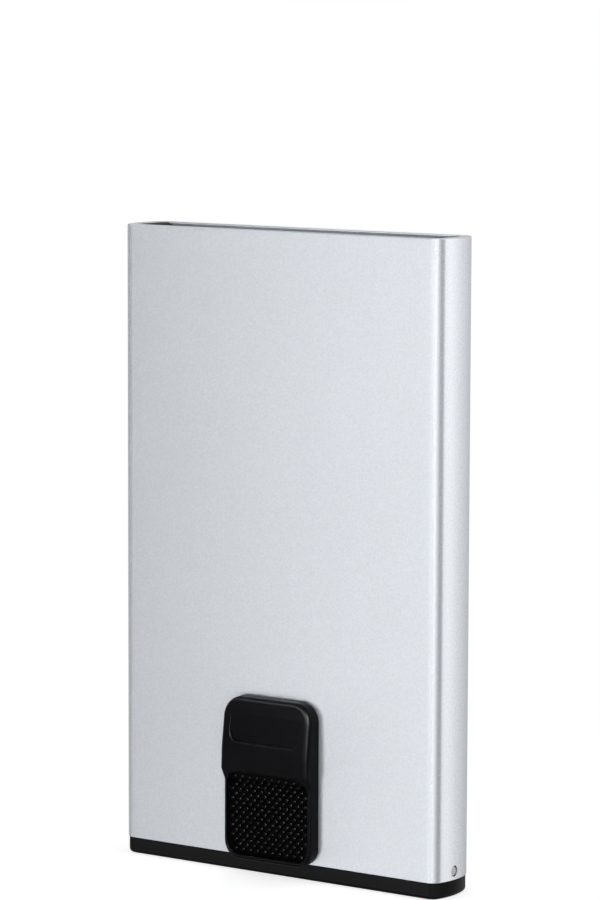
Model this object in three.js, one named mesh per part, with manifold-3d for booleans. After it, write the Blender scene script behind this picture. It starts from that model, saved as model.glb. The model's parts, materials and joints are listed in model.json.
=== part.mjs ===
// Aluminium card holder with a slide-up card ejector.
// Millimetres, +Z up, the front faces -Y, +X is the holder's right-hand narrow side.
// The origin is the middle of the base cap's underside.

import * as THREE from 'three';
import { mergeVertices } from 'three/addons/utils/BufferGeometryUtils.js';
import Module from 'manifold-3d';

// The cards that the holder takes
const cardWidth = 53.98;
const cardHeight = 85.6;
const cardPitch = 1.27; // depth of the stack that one embossed card takes
const cardCount = 6;

// Clearances
const cardEdgeClearance = 0.06; // from a card's edge to the leaf springs
const cardFaceClearance = 0.19; // from the stack to the wide walls
const slideClearance = 0.1; // between the slide and the face that it runs on
const runClearance = 0.3; // between pieces that pass each other
const fitClearance = 0.15; // between pieces that are pushed together
const boreClearance = 0.1; // round a pin, rod or screw in its hole

// Extruded sleeve
const faceWall = 1.2;
const sideWall = 1.8;
const sideChannel = 2.86; // from a card's edge to the inside of the narrow wall
const cornerRadius = 2.2;
const crownRadius = 12; // of the bulging narrow sides
const innerCorner = 0.8;
const rimChamfer = 0.25;
const mouthMargin = 2; // from the top of the cards to the rim
const channelGap = 0.25; // from a card's edge to what stands in the side channels
const lipWidth = 0.7; // ribs that keep the side rails in their channels
const lipHeight = 0.5;
const lipOffset = 0.3; // from a card's edge to a rib

// Base cap
const capHeight = 2.75;
const capFloor = 1.6;
const capInset = 0.15; // how far the cap stands back from the sleeve
const capEdgeRadius = 0.7;
const postWidth = 4.9; // posts that the cards stand on
const postInset = 0.1; // from a card's edge to its post
const pinDiameter = 1.6;
const pinLength = 5;
const pinChamfer = 0.2;
const pinSink = 0.4; // below the sleeve's surface
const pinForward = 0.65; // of the case's middle
const pinEdge = 0.65; // from the sleeve's lower edge to the pin
const pinCover = 1; // of plug between the pin and the rod above it

// Ejector carriage
const stroke = 20;
const stairRise = 2.4;
const treadGap = 0.1; // from the top tread to the cards at rest
const frontTread = 3.6; // height of the lowest tread above the carriage's underside
const floorGap = 0.5; // under the carriage and its arms at rest
const shellWall = 1.4;
const ribWidth = 1.2;
const bayCount = 2; // hollow bays on each side of the solid middle
const armHeight = 3;
const armDepth = 1.6;
const earReach = 1.6; // of the ears in front of the rods

// Guide rods and return springs
const rodDiameter = 1.4;
const rodSeat = 2.9; // depth of the rod's seat in the cap and in the rail
const springWire = 0.2;
const springTurns = 18;
const springShortest = 19.6; // length at the end of the stroke
const springRodGap = 0.17;
const springSeatGap = 0.2;

// Side rails and leaf springs
const railRecess = 1; // below the rim
const railFootCover = 1.4; // of foot between the rod's end and the leaf's end
const railHeadCover = 1.3; // of head above the leaf's end
const railLeadIn = 0.4;
const leafThickness = 0.25;
const leafTab = 1.7; // length of the leaf's ends inside the rail
const leafSlit = 0.3;
const leafBridge = 3.5; // uncut length at each end

// Thumb slide
const slotWidth = 9;
const slotCorner = 1.2;
const slotCover = 1.4; // overlap of the slide past the slot's upper end
const slotEndClearance = 0.3;
const legHeight = 4.8;
const legGap = 0.3; // from the leg to the cap at rest
const plateThickness = 0.6;
const plateInset = 0.05;
const buttonWidth = 17.1;
const buttonHang = 0.15; // below the sleeve's lower edge
const buttonTopCorner = 3.2;
const buttonBottomCorner = 3;
const buttonEdge = 0.55; // rounding of the front edges
const buttonFloor = 0.9; // wall under the grip pad
const crestRise = 1.15; // of the crest over the grip
const topFall = 1.1; // from the crest to the upper end
const gripHeight = 13.1;
const ledgeHeight = 1.9; // bevel from the grip up to the crest
const crestHeight = 3.4;
const scoopMargin = 1.75; // from the side to the shallow recess in the head
const scoopDepth = 0.75; // below the crest
const scoopRise = 1.2; // from the crest's upper line to the recess
const scoopCorner = 1.8;

// Grip pad
const padRim = 0.7; // from the slide's side to the pad
const padMargin = 0.78; // from the slide's lower edge to the pad
const padReach = 1.5; // how far the pad runs up into the ledge
const padCorner = 2.3;
const padRecess = 1.1;
const padBase = 0.6;
const studHeight = 0.35;
const studRadius = 0.52;
const studTip = 0.2;
const studPitchX = 1.44;
const studPitchZ = 1.516; // over two rows
const studSink = 0.05;

// Screws from the carriage into the slide
const screwEdge = 1.6; // from the leg's side to the screw's axis
const screwDiameter = 1.4;
const screwHeadDiameter = 2.4;
const screwHeadHeight = 0.9;
const screwChamfer = 0.3;
const screwGrip = 2.9; // of carriage under the screw's head
const screwTipCover = 0.2; // of the slide's floor beyond the screw

// Facets, and how far a cutting shape runs past the face that it cuts
const roundSides = 14;
const studSides = 6;
const arcSteps = 6;
const edgeSteps = 3;
const innerCornerSteps = 2;
const leafSteps = 24;
const curlSteps = 8;
const wireSides = 5;
const overshoot = 1;

// Places that follow from the sizes
const cardHalf = cardWidth / 2;
const stackHalf = cardCount * cardPitch / 2;
const innerHalfDepth = stackHalf + cardFaceClearance;
const innerHalfWidth = cardHalf + sideChannel;
const halfDepth = innerHalfDepth + faceWall;
const halfWidth = innerHalfWidth + sideWall;
const frontFace = -halfDepth;
const sleeveBottom = capHeight;
const carriageBottom = capFloor + floorGap;
const firstTread = carriageBottom + frontTread;
const topTread = firstTread + (cardCount - 1) * stairRise;
const cardSeat = topTread + treadGap;
const sleeveTop = cardSeat + cardHeight + mouthMargin;
const pinZ = sleeveBottom + pinEdge + pinDiameter / 2;
const pinBore = pinDiameter / 2 + boreClearance;
const rodBottom = pinZ + pinDiameter / 2 + pinCover;
const plugTop = rodBottom + rodSeat;
const plugHalfWidth = innerHalfWidth - fitClearance;
const plugHalfDepth = innerHalfDepth - fitClearance;
const postOuter = cardHalf - postInset;
const postInner = postOuter - postWidth;
const carriageHalfWidth = postInner - runClearance;
const lipInner = cardHalf + lipOffset;
const lipOuter = lipInner + lipWidth;
const lipFace = innerHalfDepth - lipHeight;
const armBack = lipFace - runClearance;
const armFront = armBack - armDepth;
const armBottom = plugTop + floorGap;
const armTop = armBottom + armHeight;
const rodX = cardHalf + sideChannel / 2;
const springRadius = rodDiameter / 2 + springRodGap + springWire / 2;
const springBottom = armTop + springSeatGap;
const springLength = springShortest + stroke;
const springTop = springBottom + springLength;
const railBottom = springTop + springSeatGap;
const railTop = sleeveTop - railRecess;
const rodTop = railBottom + rodSeat;
const pinOuterEnd = halfWidth - pinSink;
const legBottom = capHeight + legGap;
const legTop = legBottom + legHeight;
const legHalf = slotWidth / 2 - runClearance;
const slotTop = legTop + stroke + slotEndClearance;
const buttonBottom = sleeveBottom - buttonHang;
const buttonTop = slotTop + slotCover;
const crestBottom = buttonBottom + gripHeight + ledgeHeight;
const crestTop = crestBottom + crestHeight;
const plateBack = frontFace - slideClearance;
const plateFront = plateBack - plateThickness;
const padFloor = plateFront - buttonFloor;
const gripFace = padFloor - padRecess;
const crestFace = gripFace - crestRise;
const topFace = crestFace + topFall;
const padBottom = buttonBottom + padMargin;
const padTop = buttonBottom + gripHeight + padReach;
const padWidth = buttonWidth - padRim * 2;
const screwX = legHalf - screwEdge;
const screwZ = (legBottom + firstTread) / 2;
const screwSeatY = -stackHalf + screwGrip;

const wasm = await Module();
wasm.setup();

// Closed geometry to a solid for joining and cutting, and back
function solidOf(geometry) {
  const bare = geometry.clone();
  bare.deleteAttribute('normal');
  bare.deleteAttribute('uv');
  const merged = mergeVertices(bare, 1e-5);
  const vertProperties = new Float32Array(merged.attributes.position.array);
  const triVerts = new Uint32Array(merged.index.array);
  return new wasm.Manifold(new wasm.Mesh({ numProp: 3, vertProperties, triVerts }));
}

function geometryOf(solid) {
  const mesh = solid.getMesh();
  const geometry = new THREE.BufferGeometry();
  geometry.setAttribute('position', new THREE.BufferAttribute(mesh.vertProperties, mesh.numProp));
  geometry.setIndex(new THREE.BufferAttribute(mesh.triVerts, 1));
  return geometry;
}

// Limits along X of a right-hand stretch, or of its left-hand twin
function span(side, near, far) {
  return side > 0 ? [near, far] : [-far, -near];
}

// Boxes and cylinders by their limits
function block(low, high) {
  const size = high.map((value, axis) => value - low[axis]);
  const middle = high.map((value, axis) => (value + low[axis]) / 2);
  return solidOf(new THREE.BoxGeometry(...size).translate(...middle));
}

function rodAlongZ(x, y, radius, z0, z1) {
  const rod = new THREE.CylinderGeometry(radius, radius, z1 - z0, roundSides).rotateX(Math.PI / 2);
  return solidOf(rod.translate(x, y, (z0 + z1) / 2));
}

function rodAlongY(x, z, radius, y0, y1) {
  const rod = new THREE.CylinderGeometry(radius, radius, y1 - y0, roundSides);
  return solidOf(rod.translate(x, (y0 + y1) / 2, z));
}

function rodAlongX(y, z, radius, x0, x1) {
  const rod = new THREE.CylinderGeometry(radius, radius, x1 - x0, roundSides).rotateZ(Math.PI / 2);
  return solidOf(rod.translate((x0 + x1) / 2, y, z));
}

// Extrusions of a flat outline: drawn in YZ and pulled along X, or drawn in XZ and pulled towards -Y
function pulledAlongX(outline, x0, x1) {
  const geometry = new THREE.ExtrudeGeometry(outline, { depth: x1 - x0, bevelEnabled: false });
  const turn = new THREE.Matrix4().makeBasis(
    new THREE.Vector3(0, 1, 0), new THREE.Vector3(0, 0, 1), new THREE.Vector3(1, 0, 0));
  return solidOf(geometry.applyMatrix4(turn).translate(x0, 0, 0));
}

function pulledForward(outline, yBack, yFront) {
  const options = { depth: yBack - yFront, bevelEnabled: false, curveSegments: arcSteps };
  const geometry = new THREE.ExtrudeGeometry(outline, options).rotateX(Math.PI / 2);
  return solidOf(geometry.translate(0, yBack, 0));
}

function polygon(points) {
  return new THREE.Shape(points.map(([x, y]) => new THREE.Vector2(x, y)));
}

// Upright rounded rectangle centred on x = 0, with separate lower and upper corner radii
function tablet(width, bottom, top, lowerCorner, upperCorner) {
  const half = width / 2;
  const shape = new THREE.Shape();
  shape.absarc(half - lowerCorner, bottom + lowerCorner, lowerCorner, -Math.PI / 2, 0, false);
  shape.absarc(half - upperCorner, top - upperCorner, upperCorner, 0, Math.PI / 2, false);
  shape.absarc(-half + upperCorner, top - upperCorner, upperCorner, Math.PI / 2, Math.PI, false);
  shape.absarc(-half + lowerCorner, bottom + lowerCorner, lowerCorner, Math.PI, Math.PI * 1.5, false);
  return shape;
}

// Closed skin over rings that all have the same number of points, with flat ends
function loft(rings) {
  const count = rings[0].length;
  const positions = rings.flat().flatMap((point) => [point.x, point.y, point.z]);
  const index = [];
  for (let ring = 0; ring + 1 < rings.length; ring += 1) {
    for (let step = 0; step < count; step += 1) {
      const here = ring * count + step;
      const next = ring * count + (step + 1) % count;
      index.push(here, next, next + count, here, next + count, here + count);
    }
  }
  const ends = THREE.ShapeUtils.triangulateShape(
    rings[0].map((point) => new THREE.Vector2(point.x, point.y)), []);
  const last = (rings.length - 1) * count;
  for (const [a, b, c] of ends) {
    index.push(c, b, a);
    index.push(last + a, last + b, last + c);
  }
  const geometry = new THREE.BufferGeometry();
  geometry.setAttribute('position', new THREE.Float32BufferAttribute(positions, 3));
  geometry.setIndex(index);
  return solidOf(geometry);
}

// The case's outline: flat wide faces, crowned narrow sides and corner arcs that run into both
function caseRing(inset, z) {
  const corner = cornerRadius - inset;
  const crown = crownRadius - inset;
  const cornerY = halfDepth - cornerRadius;
  const turn = Math.asin(cornerY / (crownRadius - cornerRadius));
  const crownX = halfWidth - crownRadius;
  const cornerX = crownX + (crownRadius - cornerRadius) * Math.cos(turn);
  const quarter = [];
  for (let step = 0; step <= arcSteps; step += 1) {
    const angle = (turn * step) / arcSteps;
    quarter.push([crownX + crown * Math.cos(angle), crown * Math.sin(angle)]);
  }
  for (let step = 1; step <= arcSteps; step += 1) {
    const angle = turn + ((Math.PI / 2 - turn) * step) / arcSteps;
    quarter.push([cornerX + corner * Math.cos(angle), cornerY + corner * Math.sin(angle)]);
  }
  const backLeft = quarter.map(([x, y]) => [-x, y]).reverse();
  const frontLeft = quarter.map(([x, y]) => [-x, -y]).slice(1);
  const frontRight = quarter.map(([x, y]) => [x, -y]).reverse().slice(0, -1);
  return [...quarter, ...backLeft, ...frontLeft, ...frontRight]
    .map(([x, y]) => new THREE.Vector3(x, y, z));
}

// The pocket's outline, grown by a chamfer where it meets the rim
function pocketRing(grow, z) {
  const ring = [];
  const centreX = innerHalfWidth - innerCorner;
  const centreY = innerHalfDepth - innerCorner;
  for (const [signX, signY, start] of [[1, 1, 0], [-1, 1, 1], [-1, -1, 2], [1, -1, 3]]) {
    for (let step = 0; step <= innerCornerSteps; step += 1) {
      const angle = (start + step / innerCornerSteps) * Math.PI / 2;
      const reach = innerCorner + grow;
      const x = signX * centreX + reach * Math.cos(angle);
      const y = signY * centreY + reach * Math.sin(angle);
      ring.push(new THREE.Vector3(x, y, z));
    }
  }
  return ring;
}

// A column that fills the pocket, less the fit clearance
function pocketColumn(z0, z1) {
  return loft([pocketRing(-fitClearance, z0), pocketRing(-fitClearance, z1)]);
}

function caseSleeve() {
  const outside = loft([
    caseRing(0, sleeveBottom), caseRing(0, sleeveTop - rimChamfer), caseRing(rimChamfer, sleeveTop)]);
  const pocket = loft([
    pocketRing(0, sleeveBottom - overshoot), pocketRing(0, sleeveTop - rimChamfer),
    pocketRing(rimChamfer, sleeveTop), pocketRing(rimChamfer, sleeveTop + overshoot)]);
  let sleeve = outside.subtract(pocket);
  for (const side of [-1, 1]) {
    const [lipLow, lipHigh] = span(side, lipInner, lipOuter);
    for (const face of [-1, 1]) {
      const [lipFront, lipBack] = span(face, lipFace, innerHalfDepth + faceWall / 2);
      sleeve = sleeve.add(block([lipLow, lipFront, sleeveBottom], [lipHigh, lipBack, railTop]));
    }
    const [holeLow, holeHigh] = span(side, innerHalfWidth - overshoot, halfWidth + overshoot);
    sleeve = sleeve.subtract(rodAlongX(-pinForward, pinZ, pinBore, holeLow, holeHigh));
  }
  const slot = tablet(slotWidth, sleeveBottom - slotCorner * 2, slotTop, slotCorner, slotCorner);
  return sleeve.subtract(pulledForward(slot, -innerHalfDepth + overshoot, frontFace - overshoot));
}

function baseCap() {
  const edge = [];
  for (let step = 0; step <= edgeSteps; step += 1) {
    const angle = (Math.PI / 2) * step / edgeSteps;
    edge.push(caseRing(
      capInset + capEdgeRadius * (1 - Math.sin(angle)), capEdgeRadius * (1 - Math.cos(angle))));
  }
  let cap = loft([...edge, caseRing(capInset, capHeight)]);
  for (const side of [-1, 1]) {
    const [endLow, endHigh] = span(side, postInner, plugHalfWidth);
    const end = block([endLow, -plugHalfDepth, capFloor], [endHigh, plugHalfDepth, plugTop]);
    cap = cap.add(end.intersect(pocketColumn(capFloor, plugTop)));
    const [postLow, postHigh] = span(side, postInner, postOuter);
    cap = cap.add(block(
      [postLow, -plugHalfDepth, capFloor], [postHigh, armFront - runClearance, cardSeat]));
    const [grooveLow, grooveHigh] = span(side, lipInner - fitClearance, lipOuter + fitClearance);
    for (const face of [-1, 1]) {
      const [grooveFront, grooveBack] = span(face, lipFace - fitClearance, innerHalfDepth);
      cap = cap.subtract(block(
        [grooveLow, grooveFront, capHeight], [grooveHigh, grooveBack, plugTop + overshoot]));
    }
    const [boreLow, boreHigh] = span(side, pinOuterEnd - pinLength - boreClearance, halfWidth + overshoot);
    cap = cap.subtract(rodAlongX(-pinForward, pinZ, pinBore, boreLow, boreHigh));
    const rodBore = rodDiameter / 2 + boreClearance;
    cap = cap.subtract(rodAlongZ(side * rodX, 0, rodBore, rodBottom - boreClearance, plugTop + overshoot));
  }
  const bay = block([-postInner, -plugHalfDepth, capFloor], [postInner, plugHalfDepth, plugTop]);
  return cap.subtract(bay);
}

// Dowel pin along X, with chamfered ends
function basePin(side) {
  const radius = pinDiameter / 2;
  const profile = [
    [0, 0], [radius - pinChamfer, 0], [radius, pinChamfer], [radius, pinLength - pinChamfer],
    [radius - pinChamfer, pinLength], [0, pinLength]];
  const points = profile.map(([x, y]) => new THREE.Vector2(x, y));
  const lathe = new THREE.LatheGeometry(points, roundSides).rotateZ(-Math.PI / 2);
  const [pinLow] = span(side, pinOuterEnd - pinLength, pinOuterEnd);
  return solidOf(lathe.translate(pinLow, -pinForward, pinZ));
}

// Step number to the depth at which it starts and the height of its tread
const stepStart = (step) => -stackHalf + step * cardPitch;
const treadAt = (step) => firstTread + step * stairRise;

// Moulded carriage: a stair for the cards, cored from below, with arms to the two guide rods
function ejectorCarriage() {
  const stair = [[-stackHalf, carriageBottom]];
  const core = [[stepStart(1), carriageBottom - overshoot]];
  const coreBack = stackHalf - shellWall;
  for (let step = 0; step < cardCount; step += 1) {
    stair.push([stepStart(step), treadAt(step)], [stepStart(step + 1), treadAt(step)]);
    if (step > 0 && stepStart(step) < coreBack) {
      const ceiling = treadAt(step - 1) - shellWall;
      core.push([stepStart(step), ceiling], [Math.min(stepStart(step + 1), coreBack), ceiling]);
    }
  }
  stair.push([stackHalf, carriageBottom]);
  core.push([coreBack, carriageBottom - overshoot]);
  let carriage = pulledAlongX(polygon(stair), -carriageHalfWidth, carriageHalfWidth);
  const coreHalf = screwX + screwHeadDiameter / 2 + shellWall;
  const bayWidth = (carriageHalfWidth - coreHalf - ribWidth * bayCount) / bayCount;
  for (let bay = 0; bay < bayCount; bay += 1) {
    const near = coreHalf + bay * (bayWidth + ribWidth);
    for (const side of [-1, 1]) {
      carriage = carriage.subtract(pulledAlongX(polygon(core), ...span(side, near, near + bayWidth)));
    }
  }
  const earHalf = sideChannel / 2 - channelGap;
  for (const side of [-1, 1]) {
    const [armLow, armHigh] = span(side, carriageHalfWidth - shellWall / 2, rodX + earHalf);
    carriage = carriage.add(block([armLow, armFront, armBottom], [armHigh, armBack, armTop]));
    const [earLow, earHigh] = span(side, rodX - earHalf, rodX + earHalf);
    carriage = carriage.add(block([earLow, -earReach, armBottom], [earHigh, armBack, armTop]));
    const rodBore = rodDiameter / 2 + boreClearance;
    carriage = carriage.subtract(rodAlongZ(
      side * rodX, 0, rodBore, armBottom - overshoot, armTop + overshoot));
    const shank = screwDiameter / 2 + boreClearance;
    carriage = carriage.subtract(rodAlongY(
      side * screwX, screwZ, shank, -stackHalf - overshoot, stackHalf + overshoot));
    const head = screwHeadDiameter / 2 + boreClearance;
    carriage = carriage.subtract(rodAlongY(side * screwX, screwZ, head, screwSeatY, stackHalf + overshoot));
  }
  return carriage;
}

// Screw lying along Y: pan head towards the back, plain shank with a chamfered tip
function carriageScrew(side) {
  const reach = screwSeatY - (padFloor + screwTipCover);
  const shank = screwDiameter / 2;
  const head = screwHeadDiameter / 2;
  const profile = [
    [0, -reach], [shank - screwChamfer, -reach], [shank, -reach + screwChamfer], [shank, 0], [head, 0],
    [head, screwHeadHeight - screwChamfer], [head - screwChamfer, screwHeadHeight], [0, screwHeadHeight]];
  const points = profile.map(([x, y]) => new THREE.Vector2(x, y));
  const lathe = new THREE.LatheGeometry(points, roundSides);
  return solidOf(lathe.translate(side * screwX, screwSeatY, screwZ));
}

function guideRod(side) {
  return rodAlongZ(side * rodX, 0, rodDiameter / 2, rodBottom, rodTop);
}

// Helix of the return spring round its rod
class SpringCurve extends THREE.Curve {
  getPoint(t, target = new THREE.Vector3()) {
    const angle = Math.PI * 2 * springTurns * t;
    const rise = springWire / 2 + (springLength - springWire) * t;
    return target.set(springRadius * Math.cos(angle), springRadius * Math.sin(angle), springBottom + rise);
  }
}

function returnSpring(side) {
  const section = new THREE.Shape();
  for (let corner = 0; corner < wireSides; corner += 1) {
    const angle = Math.PI * 2 * corner / wireSides;
    const x = springWire / 2 * Math.cos(angle);
    const y = springWire / 2 * Math.sin(angle);
    if (corner === 0) section.moveTo(x, y);
    else section.lineTo(x, y);
  }
  const options = { steps: springTurns * curlSteps, extrudePath: new SpringCurve(), bevelEnabled: false };
  const wire = new THREE.ExtrudeGeometry(section, options);
  return solidOf(wire.translate(side * rodX, 0, 0));
}

// Least gap between neighbouring turns, measured on points of the wire's middle line
function leastSpringGap() {
  const points = new SpringCurve().getPoints(springTurns * curlSteps);
  let least = Infinity;
  for (let first = 0; first < points.length; first += 1) {
    for (let second = first + curlSteps / 2; second < points.length; second += 1) {
      least = Math.min(least, points[first].distanceTo(points[second]) - springWire);
    }
  }
  return least;
}

// Places on the right-hand side that the rail and its leaf share
const stripInner = lipOuter + fitClearance;
const blockInner = cardHalf + channelGap;
const leafSeat = stripInner - fitClearance - leafThickness;
const leafCrest = cardHalf + cardEdgeClearance;
const leafBottom = rodTop + railFootCover;
const leafTop = railTop - railHeadCover;

// Right-hand rail: a strip behind the ribs with a foot and a head that grip the leaf's ends
function sideRail() {
  const footTop = leafBottom + leafTab;
  const headBottom = leafTop - leafTab;
  const slotInner = leafSeat - fitClearance;
  const slotFloor = leafBottom - fitClearance;
  const slotRoof = leafTop + fitClearance;
  const outline = [
    [plugHalfWidth, railBottom], [plugHalfWidth, railTop], [blockInner + railLeadIn, railTop],
    [blockInner, railTop - railLeadIn], [blockInner, headBottom], [slotInner, headBottom],
    [slotInner, slotRoof], [stripInner, slotRoof], [stripInner, slotFloor], [slotInner, slotFloor],
    [slotInner, footTop], [blockInner, footTop], [blockInner, railBottom]];
  const blockHalf = lipFace - fitClearance;
  const blocks = pulledForward(polygon(outline), blockHalf, -blockHalf);
  const strip = block([stripInner, -plugHalfDepth, railBottom], [plugHalfWidth, plugHalfDepth, railTop]);
  const rodBore = rodDiameter / 2 + boreClearance;
  const bore = rodAlongZ(rodX, 0, rodBore, railBottom - overshoot, rodTop + boreClearance);
  return blocks.add(strip).intersect(pocketColumn(railBottom, railTop)).subtract(bore);
}

// Right-hand leaf spring: a strip bowed towards the cards and slit into one finger for each card
function cardLeaf() {
  const bowBottom = leafBottom + leafTab;
  const bowTop = leafTop - leafTab;
  const inner = [[leafSeat, leafBottom]];
  for (let step = 0; step <= leafSteps; step += 1) {
    const along = step / leafSteps;
    const bow = Math.sin(Math.PI * along) ** 2;
    inner.push([leafSeat - (leafSeat - leafCrest) * bow, bowBottom + (bowTop - bowBottom) * along]);
  }
  inner.push([leafSeat, leafTop]);
  const outer = inner.map(([x, z]) => [x + leafThickness, z]).reverse();
  const half = lipFace - fitClearance;
  let leaf = pulledForward(polygon([...inner, ...outer]), half, -half);
  for (let slit = 1; slit < cardCount; slit += 1) {
    const middle = stepStart(slit);
    leaf = leaf.subtract(block(
      [leafCrest - overshoot, middle - leafSlit / 2, bowBottom + leafBridge],
      [leafSeat + leafThickness + overshoot, middle + leafSlit / 2, bowTop - leafBridge]));
  }
  return leaf;
}

// The slide's front, as a depth in Y, along its height: grip, ledge, crest and the ramp above it
function buttonFront(z) {
  const ledgeBottom = buttonBottom + gripHeight;
  if (z <= ledgeBottom) return gripFace;
  if (z < crestBottom) return gripFace + (crestFace - gripFace) * (z - ledgeBottom) / ledgeHeight;
  if (z <= crestTop) return crestFace;
  return crestFace + (topFace - crestFace) * (z - crestTop) / (buttonTop - crestTop);
}

// Half width of the slide along its height, narrowed by the corner arcs
function buttonHalfWidth(z) {
  const half = buttonWidth / 2;
  const lower = buttonBottom + buttonBottomCorner - z;
  const upper = z - (buttonTop - buttonTopCorner);
  if (lower > 0) return half - buttonBottomCorner + Math.sqrt(buttonBottomCorner ** 2 - lower ** 2);
  if (upper > 0) return half - buttonTopCorner + Math.sqrt(Math.max(0, buttonTopCorner ** 2 - upper ** 2));
  return half;
}

// One level ring of the slide, with its two front edges rounded
function buttonRing(z, drop) {
  const half = buttonHalfWidth(z);
  const front = buttonFront(z) + drop;
  const ring = [new THREE.Vector3(half, plateFront, z)];
  const edges = [];
  for (let step = 0; step <= edgeSteps; step += 1) {
    const angle = (Math.PI / 2) * step / edgeSteps;
    edges.push([half - buttonEdge * (1 - Math.cos(angle)), front + buttonEdge * (1 - Math.sin(angle))]);
  }
  ring.push(new THREE.Vector3(-half, plateFront, z));
  for (const [x, y] of edges) ring.push(new THREE.Vector3(-x, y, z));
  for (const [x, y] of edges.reverse()) ring.push(new THREE.Vector3(x, y, z));
  return ring;
}

// Heights of the slide's rings: the corner arcs, the rounded ends and the breaks of its profile
function buttonLevels() {
  const levels = new Map();
  for (let step = 0; step <= edgeSteps; step += 1) {
    const angle = (Math.PI / 2) * step / edgeSteps;
    const rise = buttonEdge * (1 - Math.cos(angle));
    const drop = buttonEdge * (1 - Math.sin(angle));
    levels.set(buttonBottom + rise, drop);
    levels.set(buttonTop - rise, drop);
  }
  for (let step = 1; step <= arcSteps; step += 1) {
    const angle = (Math.PI / 2) * step / arcSteps;
    const low = buttonBottom + buttonBottomCorner * (1 - Math.cos(angle));
    const high = buttonTop - buttonTopCorner * (1 - Math.cos(angle));
    if (low > buttonBottom + buttonEdge) levels.set(low, 0);
    if (high < buttonTop - buttonEdge) levels.set(high, 0);
  }
  for (const z of [buttonBottom + gripHeight, crestBottom, crestTop]) levels.set(z, 0);
  return [...levels].sort((a, b) => a[0] - b[0]);
}

function sliderButton() {
  let button = loft(buttonLevels().map(([z, drop]) => buttonRing(z, drop)));
  const recess = tablet(
    padWidth + fitClearance * 2, padBottom - fitClearance, padTop + fitClearance,
    padCorner + fitClearance, padCorner + fitClearance);
  button = button.subtract(pulledForward(recess, padFloor, crestFace - overshoot));
  const scoop = tablet(
    buttonWidth - scoopMargin * 2, crestTop + scoopRise, buttonTop + scoopCorner * 2,
    scoopCorner, scoopCorner);
  button = button.subtract(pulledForward(scoop, crestFace + scoopDepth, crestFace - overshoot));
  for (const side of [-1, 1]) {
    const bottom = padFloor + screwTipCover - boreClearance;
    button = button.subtract(rodAlongY(
      side * screwX, screwZ, screwDiameter / 2 + boreClearance, bottom, plateFront + overshoot));
  }
  return button;
}

// Plate behind the slide, with the leg that runs in the slot and meets the carriage.
// Above the lowest tread the leg is cut back to the wall, to let the front card pass.
function sliderBackPlate() {
  const outline = tablet(
    buttonWidth - plateInset * 2, buttonBottom + plateInset, buttonTop - plateInset,
    buttonBottomCorner - plateInset, buttonTopCorner - plateInset);
  let plate = pulledForward(outline, plateBack, plateFront);
  const leg = tablet(legHalf * 2, legBottom, legTop, slotCorner, slotCorner);
  plate = plate.add(pulledForward(leg, -stackHalf, plateFront));
  plate = plate.subtract(block(
    [-slotWidth / 2, -innerHalfDepth, firstTread], [slotWidth / 2, -stackHalf + overshoot, legTop]));
  for (const side of [-1, 1]) {
    plate = plate.subtract(rodAlongY(
      side * screwX, screwZ, screwDiameter / 2 + boreClearance,
      plateFront - overshoot, -stackHalf + overshoot));
  }
  return plate;
}

// Depth of the pad's face along its height: it follows the slide's front
function padFace(z) {
  return buttonFront(z) + padRecess - padBase;
}

// One stud, from a foot inside the pad to its blunt tip
function padStud(x, z) {
  const foot = padFace(z - studRadius) + studSink;
  const tip = padFace(z) - studHeight;
  const stud = new THREE.CylinderGeometry(studTip, studRadius, foot - tip, studSides).rotateX(Math.PI);
  return solidOf(stud.translate(x, (foot + tip) / 2, z));
}

// Studded pad: staggered rows on a thin base that curves up the ledge
function gripPad() {
  const profile = [
    [padFloor + overshoot, padBottom - overshoot], [padFace(padBottom), padBottom - overshoot],
    [padFace(padBottom), buttonBottom + gripHeight], [padFace(crestBottom), crestBottom],
    [padFloor + overshoot, crestBottom]];
  let pad = pulledForward(
    tablet(padWidth, padBottom, padTop, padCorner, padCorner), padFloor, crestFace - overshoot);
  pad = pad.intersect(pulledAlongX(polygon(profile), -padWidth, padWidth));
  const padHeight = padTop - padBottom;
  const reach = padCorner - studRadius;
  const coreX = padWidth / 2 - padCorner;
  const coreZ = padHeight / 2 - padCorner;
  const middleZ = (padBottom + padTop) / 2;
  const rows = Math.floor(padHeight / studPitchZ) * 2;
  const columns = Math.ceil(padWidth / studPitchX);
  for (let row = -rows / 2; row <= rows / 2; row += 1) {
    const shift = row % 2 === 0 ? 0.5 : 0;
    const z = row * studPitchZ / 2;
    for (let column = -columns; column <= columns; column += 1) {
      const x = (column + shift) * studPitchX;
      const overX = Math.max(0, Math.abs(x) - coreX);
      const overZ = Math.max(0, Math.abs(z) - coreZ);
      if (Math.hypot(overX, overZ) <= reach) pad = pad.add(padStud(x, middleZ + z));
    }
  }
  return pad;
}

// The left-hand twin of a right-hand piece
function mirrored(geometry) {
  const twin = geometry.clone().scale(-1, 1, 1);
  const index = twin.index.array;
  for (let first = 0; first < index.length; first += 3) {
    [index[first], index[first + 1]] = [index[first + 1], index[first]];
  }
  return twin;
}

// Finishes
const finishes = {
  anodised: { color: 0xc8cacd, roughness: 0.42, metalness: 1 },
  blackMoulding: { color: 0x1d1d20, roughness: 0.5, metalness: 0 },
  gripRubber: { color: 0x161618, roughness: 0.6, metalness: 0 },
  darkPolymer: { color: 0x26272a, roughness: 0.55, metalness: 0 },
  springSteel: { color: 0x9a9da2, roughness: 0.3, metalness: 1 },
};

const holder = new THREE.Group();

function place(name, geometry, finish) {
  const mesh = new THREE.Mesh(geometry, new THREE.MeshStandardMaterial(finishes[finish]));
  mesh.name = name;
  holder.add(mesh);
}

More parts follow.
